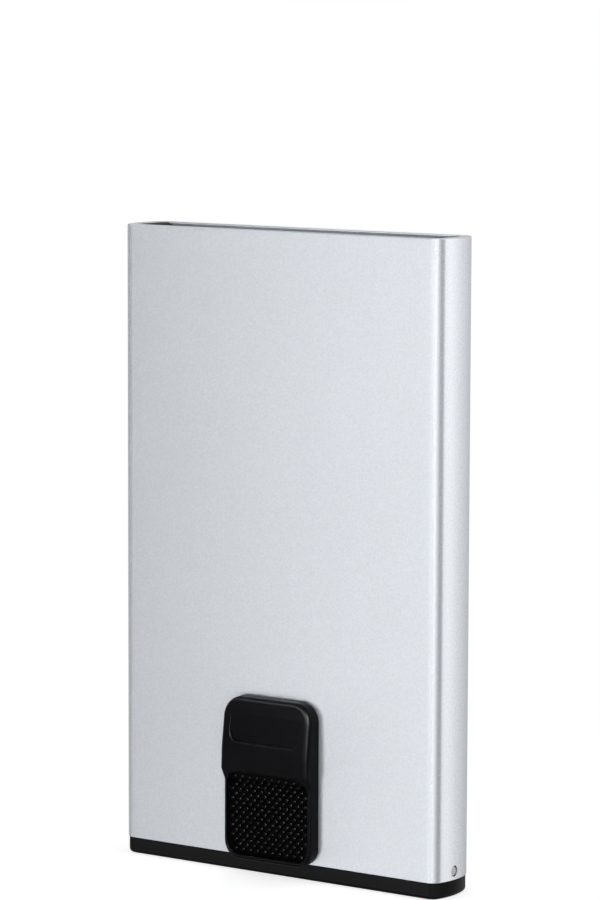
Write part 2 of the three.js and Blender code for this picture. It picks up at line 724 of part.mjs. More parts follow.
place('case_sleeve', geometryOf(caseSleeve()), 'anodised');
place('base_cap', geometryOf(baseCap()), 'blackMoulding');
place('slider_button', geometryOf(sliderButton()), 'blackMoulding');
place('slider_back_plate', geometryOf(sliderBackPlate()), 'blackMoulding');
place('grip_pad', geometryOf(gripPad()), 'gripRubber');
place('ejector_carriage', geometryOf(ejectorCarriage()), 'darkPolymer');
for (const [hand, side] of [['left', -1], ['right', 1]]) {
  const rail = geometryOf(sideRail());
  const leaf = geometryOf(cardLeaf());
  place(`base_pin_${hand}`, geometryOf(basePin(side)), 'springSteel');
  place(`guide_rod_${hand}`, geometryOf(guideRod(side)), 'springSteel');
  place(`return_spring_${hand}`, geometryOf(returnSpring(side)), 'springSteel');
  place(`side_rail_${hand}`, side > 0 ? rail : mirrored(rail), 'darkPolymer');
  place(`card_leaf_${hand}`, side > 0 ? leaf : mirrored(leaf), 'springSteel');
  place(`carriage_screw_${hand}`, geometryOf(carriageScrew(side)), 'springSteel');
}
console.log(`least gap between the turns of a return spring: ${leastSpringGap().toFixed(2)} mm`);

export default holder;
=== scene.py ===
import json
import math

import bmesh
import bpy
from mathutils import Matrix, Vector

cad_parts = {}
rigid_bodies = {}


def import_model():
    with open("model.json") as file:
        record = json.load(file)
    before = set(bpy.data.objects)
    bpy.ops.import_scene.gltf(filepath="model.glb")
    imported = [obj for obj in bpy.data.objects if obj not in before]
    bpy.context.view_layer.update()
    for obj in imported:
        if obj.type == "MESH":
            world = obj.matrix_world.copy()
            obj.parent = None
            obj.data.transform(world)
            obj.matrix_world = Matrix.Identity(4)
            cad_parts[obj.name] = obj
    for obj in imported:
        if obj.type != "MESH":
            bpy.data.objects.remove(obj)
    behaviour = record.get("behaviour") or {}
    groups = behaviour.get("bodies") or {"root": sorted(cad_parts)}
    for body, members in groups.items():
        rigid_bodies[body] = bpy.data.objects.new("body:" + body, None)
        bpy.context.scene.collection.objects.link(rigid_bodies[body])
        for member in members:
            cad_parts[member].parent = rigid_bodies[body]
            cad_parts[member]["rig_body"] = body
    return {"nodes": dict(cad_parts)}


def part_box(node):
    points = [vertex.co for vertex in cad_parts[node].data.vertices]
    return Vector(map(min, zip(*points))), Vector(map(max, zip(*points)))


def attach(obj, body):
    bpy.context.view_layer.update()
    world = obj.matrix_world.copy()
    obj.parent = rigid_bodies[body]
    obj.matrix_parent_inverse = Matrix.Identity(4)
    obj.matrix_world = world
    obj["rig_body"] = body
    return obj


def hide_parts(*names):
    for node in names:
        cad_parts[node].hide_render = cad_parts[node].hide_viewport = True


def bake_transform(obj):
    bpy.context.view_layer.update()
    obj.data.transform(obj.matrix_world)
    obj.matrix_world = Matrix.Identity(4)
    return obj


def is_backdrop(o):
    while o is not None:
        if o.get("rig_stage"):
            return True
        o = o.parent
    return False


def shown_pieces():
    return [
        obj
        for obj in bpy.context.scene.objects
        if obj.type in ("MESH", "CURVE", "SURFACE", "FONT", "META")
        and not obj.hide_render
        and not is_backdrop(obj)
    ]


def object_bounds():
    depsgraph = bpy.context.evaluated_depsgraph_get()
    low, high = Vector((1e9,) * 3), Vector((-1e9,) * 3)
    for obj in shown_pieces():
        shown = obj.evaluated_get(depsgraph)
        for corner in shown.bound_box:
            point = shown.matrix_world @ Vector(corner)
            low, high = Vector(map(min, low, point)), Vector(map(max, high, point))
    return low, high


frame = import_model()
cadLow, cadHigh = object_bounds()
scene = bpy.context.scene
mm = 0.001

# Places that the pieces share, read from the frame
sleeveLow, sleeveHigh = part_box("case_sleeve")
capLow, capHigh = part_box("base_cap")
slideLow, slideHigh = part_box("slider_button")
plateLow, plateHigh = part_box("slider_back_plate")
padLow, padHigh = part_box("grip_pad")
carriageLow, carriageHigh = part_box("ejector_carriage")
railLow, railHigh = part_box("side_rail_right")
leafLow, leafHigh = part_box("card_leaf_right")
rodLow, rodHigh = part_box("guide_rod_right")
coilLow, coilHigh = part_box("return_spring_right")
pinLow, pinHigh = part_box("base_pin_right")
screwLow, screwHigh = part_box("carriage_screw_right")

rodX = (rodLow.x + rodHigh.x) / 2
pinRadius = (pinHigh.z - pinLow.z) / 2
pinCentre = (pinLow.y + pinHigh.y) / 2, (pinLow.z + pinHigh.z) / 2
screwCentre = (screwLow.x + screwHigh.x) / 2, (screwLow.z + screwHigh.z) / 2
hands = ("right", "left")

# Fits that several pieces use
fits = {
    "push": 0.15 * mm,            # between pieces that are pushed together
    "bore": 0.1 * mm,             # round a pin, rod or screw
    "run": 0.3 * mm,              # between pieces that pass each other
    "past": 1 * mm,               # how far a cutting shape runs past the face that it cuts
    "proud": 0.1,                 # share of a cutter's chamfer or rounding that stands over that face
    "samePoint": 0.0005 * mm,     # points nearer than this are merged
    "sameLevel": 0.000001 * mm,   # and levels nearer than this
}


# Flat outlines, as lists of (u, v) points that run counter-clockwise

def arc(centreU, centreV, radius, start, end, steps):
    points = []
    for step in range(steps + 1):
        angle = math.radians(start + (end - start) * step / steps)
        points.append((centreU + radius * math.cos(angle), centreV + radius * math.sin(angle)))
    return points


def circle(centreU, centreV, radius, sides):
    return arc(centreU, centreV, radius, 0, 360, sides)[:-1]


def rounded(corners, steps=6):
    # each corner is (u, v, radius), and a radius of 0 leaves it sharp
    outline = []
    for index, (u, v, radius) in enumerate(corners):
        here = Vector((u, v))
        if radius == 0:
            outline.append((u, v))
            continue
        back = (Vector(corners[index - 1][:2]) - here).normalized()
        ahead = (Vector(corners[(index + 1) % len(corners)][:2]) - here).normalized()
        half = back.angle(ahead) / 2
        middle = here + (back + ahead).normalized() * radius / math.sin(half)
        first = here + back * radius / math.tan(half) - middle
        last = here + ahead * radius / math.tan(half) - middle
        start = math.degrees(math.atan2(first.y, first.x))
        turn = (math.degrees(math.atan2(last.y, last.x)) - start + 180) % 360 - 180
        outline += arc(middle.x, middle.y, radius, start, start + turn, steps)
    return outline


def panel(lowU, lowV, highU, highV, lowRound, highRound, steps=8):
    return rounded([
        (lowU, lowV, lowRound), (highU, lowV, lowRound),
        (highU, highV, highRound), (lowU, highV, highRound)], steps)


def standBack(outline, distance):
    # the outline moved inwards by a distance, or outwards by a negative one
    moved = []
    for index, point in enumerate(outline):
        here = Vector(point)
        before = (here - Vector(outline[index - 1])).normalized()
        after = (Vector(outline[(index + 1) % len(outline)]) - here).normalized()
        normal = Vector((-before.y - after.y, before.x + after.x))
        moved.append(tuple(here + normal * distance * 2 / normal.length_squared))
    return moved


def dense(outline, longest):
    # the same outline with its long edges split, so that it can follow a curved face
    points = []
    for index, point in enumerate(outline):
        here = Vector(point)
        span = Vector(outline[(index + 1) % len(outline)]) - here
        count = max(1, math.ceil(span.length / longest))
        points += [tuple(here + span * step / count) for step in range(count)]
    return points


def between(points, place):
    # height of a line through (place, height) points, level past its ends
    for (near, low), (far, high) in zip(points, points[1:]):
        if place <= far:
            return low + (high - low) * max(0, place - near) / (far - near)
    return points[-1][1]


# Solid bodies from outlines

def placed(axis, point, depth):
    u, v = point
    return {"x": (depth, u, v), "y": (u, depth, v), "z": (u, v, depth)}[axis]


def bridge(body, rows, closed):
    # four-sided faces between neighbouring rows of points
    for lower, upper in zip(rows, rows[1:]):
        for index in range(len(lower) if closed else len(lower) - 1):
            following = (index + 1) % len(lower)
            body.faces.new((lower[index], lower[following], upper[following], upper[index]))


def tube(body, rings):
    # a closed skin over rings of points
    grid = [[body.verts.new(point) for point in ring] for ring in rings]
    bridge(body, grid, closed=True)
    body.faces.new(reversed(grid[0]))
    body.faces.new(grid[-1])


def skin(rings):
    body = bmesh.new()
    tube(body, rings)
    bmesh.ops.remove_doubles(body, verts=body.verts, dist=fits["samePoint"])
    bmesh.ops.recalc_face_normals(body, faces=body.faces)
    return body


def quarterRound(steps):
    # distances from both faces along a rounded edge, as shares of its radius
    angles = [math.pi / 2 * step / steps for step in range(steps + 1)]
    return [(1 - math.cos(angle), 1 - math.sin(angle)) for angle in angles]


def roundedEnds(low, high, lowRound, highRound, steps=4):
    # levels of a body with rounded end edges, as (depth, distance in from the outline)
    turn = quarterRound(steps)
    levels = [(low + lowRound * along, lowRound * inset) for along, inset in turn]
    levels += [(high - highRound * along, highRound * inset) for along, inset in reversed(turn)]
    kept = levels[:1]
    for level in levels[1:]:
        if level[0] - kept[-1][0] > fits["sameLevel"]:
            kept.append(level)
    return kept


def pulled(outline, axis, low, high, lowRound=0, highRound=0, steps=4):
    levels = roundedEnds(low, high, lowRound, highRound, steps)
    return skin([[placed(axis, point, depth) for point in standBack(outline, inset)]
                 for depth, inset in levels])


def stacked(outlineAt, levels):
    # levels are (height, inset), and the outline is worked out for each inset
    return skin([[placed("z", point, z) for point in outlineAt(inset)] for z, inset in levels])


def turned(profile, axis, centre, sides=32):
    # profile is (radius, depth) along the axis
    return skin([[placed(axis, point, depth) for point in circle(*centre, radius, sides)]
                 for radius, depth in profile])


def drill(radius, axis, centre, low, high):
    return turned([(radius, low), (radius, high)], axis, centre)


def solid(name, body):
    mesh = bpy.data.meshes.new(name)
    body.to_mesh(mesh)
    body.free()
    piece = bpy.data.objects.new(name, mesh)
    scene.collection.objects.link(piece)
    return piece


def settle(piece):
    # bakes the modifiers into the mesh
    shaped = bpy.data.meshes.new_from_object(piece.evaluated_get(bpy.context.evaluated_depsgraph_get()))
    rough = piece.data
    piece.modifiers.clear()
    piece.data = shaped
    bpy.data.meshes.remove(rough)


def combine(piece, bodies, operation):
    for body in bodies:
        tool = solid("tool", body)
        modifier = piece.modifiers.new("combine", "BOOLEAN")
        modifier.operation = operation
        modifier.solver = "EXACT"
        modifier.object = tool
        settle(piece)
        scrap = tool.data
        bpy.data.objects.remove(tool)
        bpy.data.meshes.remove(scrap)
    return piece


def carve(piece, *bodies):
    return combine(piece, bodies, "DIFFERENCE")


def weld(piece, *bodies):
    return combine(piece, bodies, "UNION")


def mirrored(body, axis="x"):
    twin = body.copy()
    bmesh.ops.scale(twin, vec=[-1 if name == axis else 1 for name in "xyz"], verts=twin.verts)
    bmesh.ops.reverse_faces(twin, faces=twin.faces)
    return twin


def bothSides(body):
    # a right-hand body and its left-hand twin
    return body, mirrored(body)


def mirrorLeft(piece):
    piece.data.transform(Matrix.Scale(-1, 4, (1, 0, 0)))
    piece.data.flip_normals()


def moveLeft(piece, centreX):
    # to the same place on the left, with its thread or winding still right-handed
    piece.data.transform(Matrix.Translation((-2 * centreX, 0, 0)))


def coat(piece, finish):
    piece.data.materials.clear()
    piece.data.materials.append(finishes[finish])
    for polygon in piece.data.polygons:
        polygon.use_smooth = True
    print("piece:", piece.name, len(piece.data.polygons), "faces")


def dress(piece, finish, node, sharpAngle=34):
    # finish, shading, and the CAD node that the piece stands for
    coat(piece, finish)
    piece.data.set_sharp_from_angle(angle=math.radians(sharpAngle))
    normals = piece.modifiers.new("evenNormals", "WEIGHTED_NORMAL")
    normals.keep_sharp = True
    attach(piece, frame["nodes"][node]["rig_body"])
    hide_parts(node)
    return piece


def dressTwins(name, body, finish, node):
    for hand, twin in zip(hands, bothSides(body)):
        dress(solid(name + "_" + hand, twin), finish, node + "_" + hand)


# Finishes

noiseSpan = (0.3, 0.7)            # where most of a noise lies


def startFinish(name):
    material = bpy.data.materials.new(name)
    material.use_nodes = True
    return material, material.node_tree, material.node_tree.nodes["Principled BSDF"]


def feed(tree, node, inputs):
    # plain values, or outputs of other nodes, into a node's inputs
    for name, value in inputs.items():
        if isinstance(value, bpy.types.NodeSocket):
            tree.links.new(value, node.inputs[name])
        else:
            node.inputs[name].default_value = value


def addNode(tree, kind, inputs, **settings):
    node = tree.nodes.new("ShaderNode" + kind)
    for name, value in settings.items():
        setattr(node, name, value)
    feed(tree, node, inputs)
    return node


def objectPlace(tree):
    return addNode(tree, "TexCoord", {}).outputs["Object"]


def grain(tree, size, stretch=1, detail=2):
    # cloudy noise with grains of the given size, longer along Z when stretched
    scale = (1 / size, 1 / size, 1 / (size * stretch))
    mapping = addNode(tree, "Mapping", {"Vector": objectPlace(tree), "Scale": scale})
    noise = addNode(tree, "TexNoise", {"Vector": mapping.outputs["Vector"], "Scale": 1, "Detail": detail})
    return noise.outputs["Fac"]


def spread(tree, source, low, high):
    start, end = noiseSpan
    ranged = addNode(tree, "MapRange", {
        "Value": source, "From Min": start, "From Max": end, "To Min": low, "To Max": high})
    return ranged.outputs["Result"]


def shades(tree, source, dark, light):
    ramp = addNode(tree, "ValToRGB", {"Fac": source})
    for element, position, colour in zip(ramp.color_ramp.elements, noiseSpan, (dark, light)):
        element.position = position
        element.color = (*colour, 1)
    return ramp.outputs["Color"]


def total(tree, first, second, share):
    # first plus a share of second
    adding = addNode(tree, "Math", {0: second, 1: share, 2: first}, operation="MULTIPLY_ADD")
    return adding.outputs["Value"]


def mean(tree, first, second, share):
    # a share of second in the mixture of the two
    return addNode(tree, "Mix", {"Factor": share, "A": first, "B": second}).outputs["Result"]


def pastPlace(tree, axis, start, end):
    # 0 up to a distance from the middle along an axis, 1 past a second one
    split = addNode(tree, "SeparateXYZ", {"Vector": objectPlace(tree)})
    distance = addNode(tree, "Math", {0: split.outputs[axis]}, operation="ABSOLUTE").outputs["Value"]
    limits = {"Value": distance, "From Min": start, "From Max": end}
    return addNode(tree, "MapRange", limits, interpolation_type="SMOOTHSTEP").outputs["Result"]


def raised(tree, source, depth, strength):
    bump = addNode(tree, "Bump", {"Height": source, "Distance": depth, "Strength": strength})
    return bump.outputs["Normal"]


aluminiumFinish = {
    "dark": (0.712, 0.742, 0.784),
    "light": (0.8, 0.835, 0.881),
    "faceRoughness": (0.385, 0.415),
    "edgeRoughness": -0.21,       # change on the corners and the narrow sides
    "faceEnd": (29.4 * mm, 30 * mm),
    "anisotropic": 0.95,          # the drawn lines spread reflections sideways
    "blastGrain": 0.3 * mm,       # of the bead-blasted skin
    "blastDetail": 3,
    "blastDepth": 0.0012 * mm,
    "blastColour": 0.9,           # its share in the colour, beside the clouds
    "cloud": 14 * mm,             # slow unevenness of the anodising
    "drawLine": 0.35 * mm,        # faint lines along the extrusion
    "drawStretch": 40,
    "drawGloss": 0.3,             # their share in the gloss
    "drawRelief": 0.5,            # and in the relief
    "relief": 0.25,
}


def anodisedAluminium():
    look = aluminiumFinish
    material, tree, shader = startFinish("anodised aluminium")
    blast = grain(tree, look["blastGrain"], detail=look["blastDetail"])
    lines = grain(tree, look["drawLine"], look["drawStretch"])
    cloud = grain(tree, look["cloud"])
    mottle = mean(tree, cloud, blast, look["blastColour"])
    face = spread(tree, total(tree, blast, lines, look["drawGloss"]), *look["faceRoughness"])
    edge = pastPlace(tree, "X", *look["faceEnd"])
    relief = total(tree, blast, lines, look["drawRelief"])
    feed(tree, shader, {
        "Metallic": 1,
        "Anisotropic": look["anisotropic"],
        "Base Color": shades(tree, mottle, look["dark"], look["light"]),
        "Roughness": total(tree, face, edge, look["edgeRoughness"]),
        "Normal": raised(tree, relief, look["blastDepth"], look["relief"]),
    })
    return material


mouldingFinish = {
    "dark": (0.0014, 0.0014, 0.0017),
    "light": (0.0024, 0.0024, 0.0030),
    "roughness": (0.26, 0.34),
    "specular": 0.04,
    "sparkGrain": 0.16 * mm,      # fine spark-eroded mould texture
    "sparkDepth": 0.008 * mm,
    "sparkGloss": 0.4,            # its share in the gloss
    "relief": 0.4,
    "flow": 5 * mm,               # slow gloss changes where the plastic flowed
}


def blackMoulding():
    look = mouldingFinish
    material, tree, shader = startFinish("black moulding")
    spark = grain(tree, look["sparkGrain"])
    flow = grain(tree, look["flow"])
    gloss = total(tree, flow, spark, look["sparkGloss"])
    feed(tree, shader, {
        "Specular IOR Level": look["specular"],
        "Base Color": shades(tree, flow, look["dark"], look["light"]),
        "Roughness": spread(tree, gloss, *look["roughness"]),
        "Normal": raised(tree, spark, look["sparkDepth"], look["relief"]),
    })
    return material


rubberFinish = {
    "metallic": 0,
    "dark": (0.0008, 0.0008, 0.001),
    "light": (0.0018, 0.0018, 0.0022),
    "roughness": (0.18, 0.26),
    "specular": 0.028,
    "grain": 0.12 * mm,
    "stretch": 1,
    "depth": 0.006 * mm,
    "relief": 0.4,
}
polymerFinish = {
    "metallic": 0,
    "dark": (0.010, 0.010, 0.011),
    "light": (0.018, 0.018, 0.019),
    "roughness": (0.5, 0.65),
    "specular": 0.25,
    "grain": 0.2 * mm,
    "stretch": 1,
    "depth": 0.008 * mm,
    "relief": 0.4,
}
steelFinish = {
    "metallic": 1,
    "dark": (0.46, 0.46, 0.45),
    "light": (0.58, 0.575, 0.56),
    "roughness": (0.2, 0.34),
    "specular": 0.5,
    "grain": 0.08 * mm,
    "stretch": 6,
    "depth": 0.003 * mm,
    "relief": 0.3,
}


def fineGrained(name, look):
    # one fine grain in the colour, the gloss and the relief
    material, tree, shader = startFinish(name)
    fine = grain(tree, look["grain"], look["stretch"])
    feed(tree, shader, {
        "Metallic": look["metallic"],
        "Specular IOR Level": look["specular"],
        "Base Color": shades(tree, fine, look["dark"], look["light"]),
        "Roughness": spread(tree, fine, *look["roughness"]),
        "Normal": raised(tree, fine, look["depth"], look["relief"]),
    })
    return material


finishes = {
    "anodised_aluminium": anodisedAluminium(),
    "black_moulding": blackMoulding(),
    "grip_rubber": fineGrained("grip rubber", rubberFinish),
    "inner_polymer": fineGrained("inner polymer", polymerFinish),
    "spring_steel": fineGrained("spring steel", steelFinish),
}
print("finishes:", ", ".join(finishes))


# Case sleeve

caseShape = {
    "cornerRadius": 2.2 * mm,
    "crownRadius": 12 * mm,       # of the bulging narrow sides
    "cornerSteps": 14,
    "crownSteps": 10,
    "faceWall": 1.2 * mm,
    "sideWall": 1.8 * mm,
    "innerCorner": 0.8 * mm,
    "innerSteps": 6,
    "rimRound": 0.25 * mm,
    "rimSteps": 5,
    "footRound": 0.12 * mm,
    "ribInner": 27.29 * mm,       # ribs that keep the side rails in their channels
    "ribWidth": 0.7 * mm,
    "ribHeight": 0.5 * mm,
    "ribRound": 0.15 * mm,
    "ribSteps": 4,
    "slotWidth": 9 * mm,
    "slotCover": 1.4 * mm,        # overlap of the thumb slide past the slot's upper end
    "slotCorner": 1.2 * mm,
    "slotDrop": 3.6 * mm,         # of its cutter below the sleeve, where the slot is open
    "edgeBreak": 0.12 * mm,       # small chamfer round the slot
    "holeBreak": 0.05 * mm,       # and round the pin holes
    "holeSides": 40,
}
pocketHigh = Vector((
    sleeveHigh.x - caseShape["sideWall"], sleeveHigh.y - caseShape["faceWall"], sleeveHigh.z))


def caseOutline(inset):
    corner, crown = caseShape["cornerRadius"], caseShape["crownRadius"]
    cornerY = sleeveHigh.y - corner
    turn = math.asin(cornerY / (crown - corner))
    crownX = sleeveHigh.x - crown
    cornerX = crownX + (crown - corner) * math.cos(turn)
    turn = math.degrees(turn)
    quarter = arc(crownX, 0, crown - inset, 0, turn, caseShape["crownSteps"])
    quarter += arc(cornerX, cornerY, corner - inset, turn, 90, caseShape["cornerSteps"])[1:]
    right = [(u, -v) for u, v in reversed(quarter[1:])] + quarter
    return right + [(-u, v) for u, v in reversed(right)]


def pocketOutline(inset):
    halfX, halfY = pocketHigh.x - inset, pocketHigh.y - inset
    corner = caseShape["innerCorner"] - inset
    return panel(-halfX, -halfY, halfX, halfY, corner, corner, caseShape["innerSteps"])


def pinBore():
    bore = pinRadius + fits["bore"]
    flare = caseShape["holeBreak"]
    mouth = sleeveHigh.x + flare * fits["proud"]
    profile = [
        (bore, pocketHigh.x - fits["past"]), (bore, mouth - flare),
        (bore + flare, mouth), (bore + flare, mouth + fits["past"])]
    return turned(profile, "x", pinCentre, caseShape["holeSides"])


def slotCutter():
    half = caseShape["slotWidth"] / 2
    bottom = sleeveLow.z - caseShape["slotDrop"]
    top = slideHigh.z - caseShape["slotCover"]
    corner, flare = caseShape["slotCorner"], caseShape["edgeBreak"]
    outline = panel(-half, bottom, half, top, corner, corner)
    mouth = sleeveLow.y - flare * fits["proud"]
    levels = [
        (mouth - fits["past"], flare), (mouth, flare),
        (mouth + flare, 0), (-pocketHigh.y + fits["past"], 0)]
    return skin([[placed("y", point, depth) for point in standBack(outline, -grow)]
                 for depth, grow in levels])


def caseRib():
    near, turn = caseShape["ribInner"], caseShape["ribRound"]
    far = near + caseShape["ribWidth"]
    crest = pocketHigh.y - caseShape["ribHeight"]
    root = pocketHigh.y + caseShape["faceWall"] / 2
    outline = rounded(
        [(near, crest, turn), (far, crest, turn), (far, root, 0), (near, root, 0)], caseShape["ribSteps"])
    return pulled(outline, "z", sleeveLow.z + caseShape["footRound"], railHigh.z, 0, turn)


def makeSleeve():
    rim, steps, top = caseShape["rimRound"], caseShape["rimSteps"], sleeveHigh.z
    levels = roundedEnds(sleeveLow.z, top, caseShape["footRound"], rim, steps)
    sleeve = solid("sleeve", stacked(caseOutline, levels))
    pocket = [(sleeveLow.z - fits["past"], 0), (top - rim, 0)]
    pocket += [(top - rim * down, -rim * out) for out, down in quarterRound(steps)[1:-1]]
    pocket += [(top + rim * fits["proud"], -rim), (top + fits["past"], -rim)]
    carve(sleeve, stacked(pocketOutline, pocket))
    for rib in bothSides(caseRib()):
        weld(sleeve, rib, mirrored(rib, "y"))
    carve(sleeve, *bothSides(pinBore()), slotCutter())
    return dress(sleeve, "anodised_aluminium", "case_sleeve")


# Base cap, with the plugs that fill the sleeve's ends and the posts beside them

capShape = {
    "floor": 1.6 * mm,
    "inset": 0.15 * mm,           # how far it stands back from the sleeve
    "edgeRound": 0.7 * mm,
    "topRound": 0.12 * mm,
    "edgeSteps": 7,
    "rodSeat": 2.9 * mm,          # depth of the guide rods in the plugs
    "plugRound": 0.15 * mm,
    "plugCorner": 0.3 * mm,
    "postInner": 21.99 * mm,
    "postOuter": 26.89 * mm,
    "postBack": 1.3 * mm,
    "postRound": 0.5 * mm,
    "bayCorner": 0.6 * mm,
    "sink": 0.5 * mm,             # how far the plugs and posts reach down into the floor
    "step": 0.12 * mm,            # of the posts behind the plugs' faces
}
plugTop = rodLow.z + capShape["rodSeat"]


def capPlug():
    halfX, halfY = pocketHigh.x - fits["push"], pocketHigh.y - fits["push"]
    grooveLow = caseShape["ribInner"] - fits["push"]
    grooveHigh = caseShape["ribInner"] + caseShape["ribWidth"] + fits["push"]
    grooveFloor = pocketHigh.y - caseShape["ribHeight"] - fits["push"]
    back = [
        (halfX, halfY, caseShape["innerCorner"] - fits["push"]),
        (grooveHigh, halfY, 0), (grooveHigh, grooveFloor, 0),
        (grooveLow, grooveFloor, 0), (grooveLow, halfY, 0),
        (capShape["postInner"], halfY, capShape["plugCorner"])]
    front = [(u, -v, radius) for u, v, radius in reversed(back)]
    low = capShape["floor"] - capShape["sink"]
    return pulled(rounded(front + back), "z", low, plugTop, 0, capShape["plugRound"])


def capPost():
    front = -pocketHigh.y + fits["push"] + capShape["step"]
    outline = panel(
        capShape["postInner"] + capShape["step"], front, capShape["postOuter"], capShape["postBack"],
        capShape["plugCorner"], capShape["postRound"])
    low = capShape["floor"] - capShape["sink"] / 2
    return pulled(outline, "z", low, capHigh.z, 0, capShape["plugRound"])


def makeCap():
    levels = roundedEnds(
        capLow.z, sleeveLow.z, capShape["edgeRound"], capShape["topRound"], capShape["edgeSteps"])
    cap = solid("cap", stacked(caseOutline, [(z, capShape["inset"] + inset) for z, inset in levels]))
    weld(cap, *bothSides(capPlug()), *bothSides(capPost()))
    halfX, halfY = capShape["postInner"] - fits["push"], pocketHigh.y - fits["push"]
    bay = panel(-halfX, -halfY, halfX, halfY, capShape["bayCorner"], capShape["bayCorner"])
    carve(cap, pulled(bay, "z", capShape["floor"], sleeveLow.z + fits["past"]))
    seat = drill(
        rodShape["radius"] + fits["bore"], "z", (rodX, 0), rodLow.z - fits["bore"], plugTop + fits["past"])
    pinHole = drill(pinRadius + fits["bore"], "x", pinCentre, pinLow.x - fits["bore"], sleeveHigh.x)
    carve(cap, *bothSides(seat), *bothSides(pinHole))
    return dress(cap, "black_moulding", "base_cap")


# Dowel pins through the narrow sides

pinShape = {
    "endRound": 0.15 * mm,
    "reach": 0.2 * mm,            # of the outer end past its solid, towards the crowned side
    "sides": 48,
}


def makePins():
    end = pinShape["endRound"]
    outline = circle(*pinCentre, pinRadius, pinShape["sides"])
    pin = pulled(outline, "x", pinLow.x, pinHigh.x + pinShape["reach"], end, end)
    dressTwins("pin", pin, "spring_steel", "base_pin")


# Thumb slide: grip, ledge, crest and the ramp above it

slideShape = {
    "gripHeight": 13.1 * mm,
    "ledgeHeight": 1.9 * mm,
    "crestHeight": 3.4 * mm,
    "crestRise": 1.15 * mm,       # of the crest over the grip
    "topFall": 1.1 * mm,          # from the crest to the upper end
    "ledgeRound": 0.9 * mm,
    "crestRound": 0.7 * mm,
    "rampRound": 9 * mm,
    "bendSteps": 8,               # of these three
    "topCorner": 3.2 * mm,
    "bottomCorner": 3 * mm,
    "cornerSteps": 12,
    "edgeRound": 0.5 * mm,        # of the front edges beside the grip
    "headRound": 0.85 * mm,       # of the front edges above it
    "edgeSteps": 8,
    "edgeStart": 1.4,             # where the flank ends behind the front, in edge roundings
    "backRound": 0.1 * mm,
    "backLevels": ((1, 0), (0.3, 0.3), (0, 1), (0, 1.6)),   # inset and depth, in back roundings
    "padRim": 0.7 * mm,
    "padMargin": 0.78 * mm,
    "padReach": 1.5 * mm,         # how far the pad runs up into the ledge
    "padCorner": 2.3 * mm,
    "padLip": 0.1 * mm,           # rounding of the pad's recess
    "scoopMargin": 1.75 * mm,
    "scoopDepth": 0.75 * mm,
    "scoopRise": 1.2 * mm,        # from the crest's upper line to the recess
    "scoopCorner": 1.8 * mm,
    "scoopLip": 0.22 * mm,
    "lipSteps": 5,
    "lipLift": 1 / 12,            # share of the lip that stands over the front
    "lipGap": 0.01 * mm,          # between the lip's rings where the recess runs out
    "step": 0.4 * mm,             # longest step of an outline that follows the front
}
ledgeBottom = slideLow.z + slideShape["gripHeight"]
crestBottom = ledgeBottom + slideShape["ledgeHeight"]
crestTop = crestBottom + slideShape["crestHeight"]
gripFace = slideLow.y + slideShape["crestRise"]
slideLine = rounded([             # the front from the lower to the upper end, as (z, y)
    (slideLow.z, gripFace, 0),
    (ledgeBottom, gripFace, slideShape["ledgeRound"]),
    (crestBottom, slideLow.y, slideShape["crestRound"]),
    (crestTop, slideLow.y, slideShape["rampRound"]),
    (slideHigh.z, slideLow.y + slideShape["topFall"], 0)], slideShape["bendSteps"])


def slideFront(z):
    return between(slideLine, z)


def halfTablet(half, low, high, lowCorner, highCorner, inset):
    # the right-hand half of an upright rounded panel, with points wherever the slide's front bends
    lowerEnd, upperEnd, steps = low + lowCorner, high - highCorner, slideShape["cornerSteps"]
    chain = arc(half - lowCorner, lowerEnd, lowCorner - inset, -90, 0, steps)
    chain += [(half - inset, z) for z, y in slideLine if lowerEnd < z < upperEnd]
    return chain + arc(half - highCorner, upperEnd, highCorner - inset, 0, 90, steps)


def ladder(rings):
    # closed body from right-hand half rings and their twins, back to front
    body = bmesh.new()
    right = [[body.verts.new(point) for point in ring] for ring in rings]
    left = [[body.verts.new((-x, y, z)) for x, y, z in ring] for ring in rings]
    bridge(body, right, closed=False)
    bridge(body, left, closed=False)
    for end in (0, -1):
        rightSide, leftSide = [ring[end] for ring in right], [ring[end] for ring in left]
        for level in range(len(rings) - 1):
            body.faces.new((*rightSide[level:level + 2], *reversed(leftSide[level:level + 2])))
    for level in (0, -1):
        for near, far in zip(zip(right[level], left[level]), zip(right[level][1:], left[level][1:])):
            body.faces.new((*near, *reversed(far)))
    bmesh.ops.recalc_face_normals(body, faces=body.faces)
    return body


def slideEdge(z):
    # rounding of the front edges, which grows from the grip to the crest
    share = min(max((z - ledgeBottom) / (2 * slideShape["ledgeHeight"]), 0), 1)
    return slideShape["edgeRound"] + (slideShape["headRound"] - slideShape["edgeRound"]) * share


def slideBody():
    back, rings = slideShape["backRound"], []
    outline = slideHigh.x, slideLow.z, slideHigh.z, slideShape["bottomCorner"], slideShape["topCorner"]
    for inset, depth in slideShape["backLevels"]:
        chain = halfTablet(*outline, back * inset)
        rings.append([(x, slideHigh.y - back * depth, z) for x, z in chain])
    plain, inner = halfTablet(*outline, 0), halfTablet(*outline, slideShape["edgeRound"])
    rings.append([(x, slideFront(z) + slideEdge(z) * slideShape["edgeStart"], z) for x, z in plain])
    for inset, depth in quarterRound(slideShape["edgeSteps"]):
        ring = []
        for (x, z), (innerX, innerZ) in zip(plain, inner):
            edge = slideEdge(z)
            share = edge / slideShape["edgeRound"] * inset
            ring.append((x + (innerX - x) * share, slideFront(z) + edge * depth, z + (innerZ - z) * share))
        rings.append(ring)
    return ladder(rings)


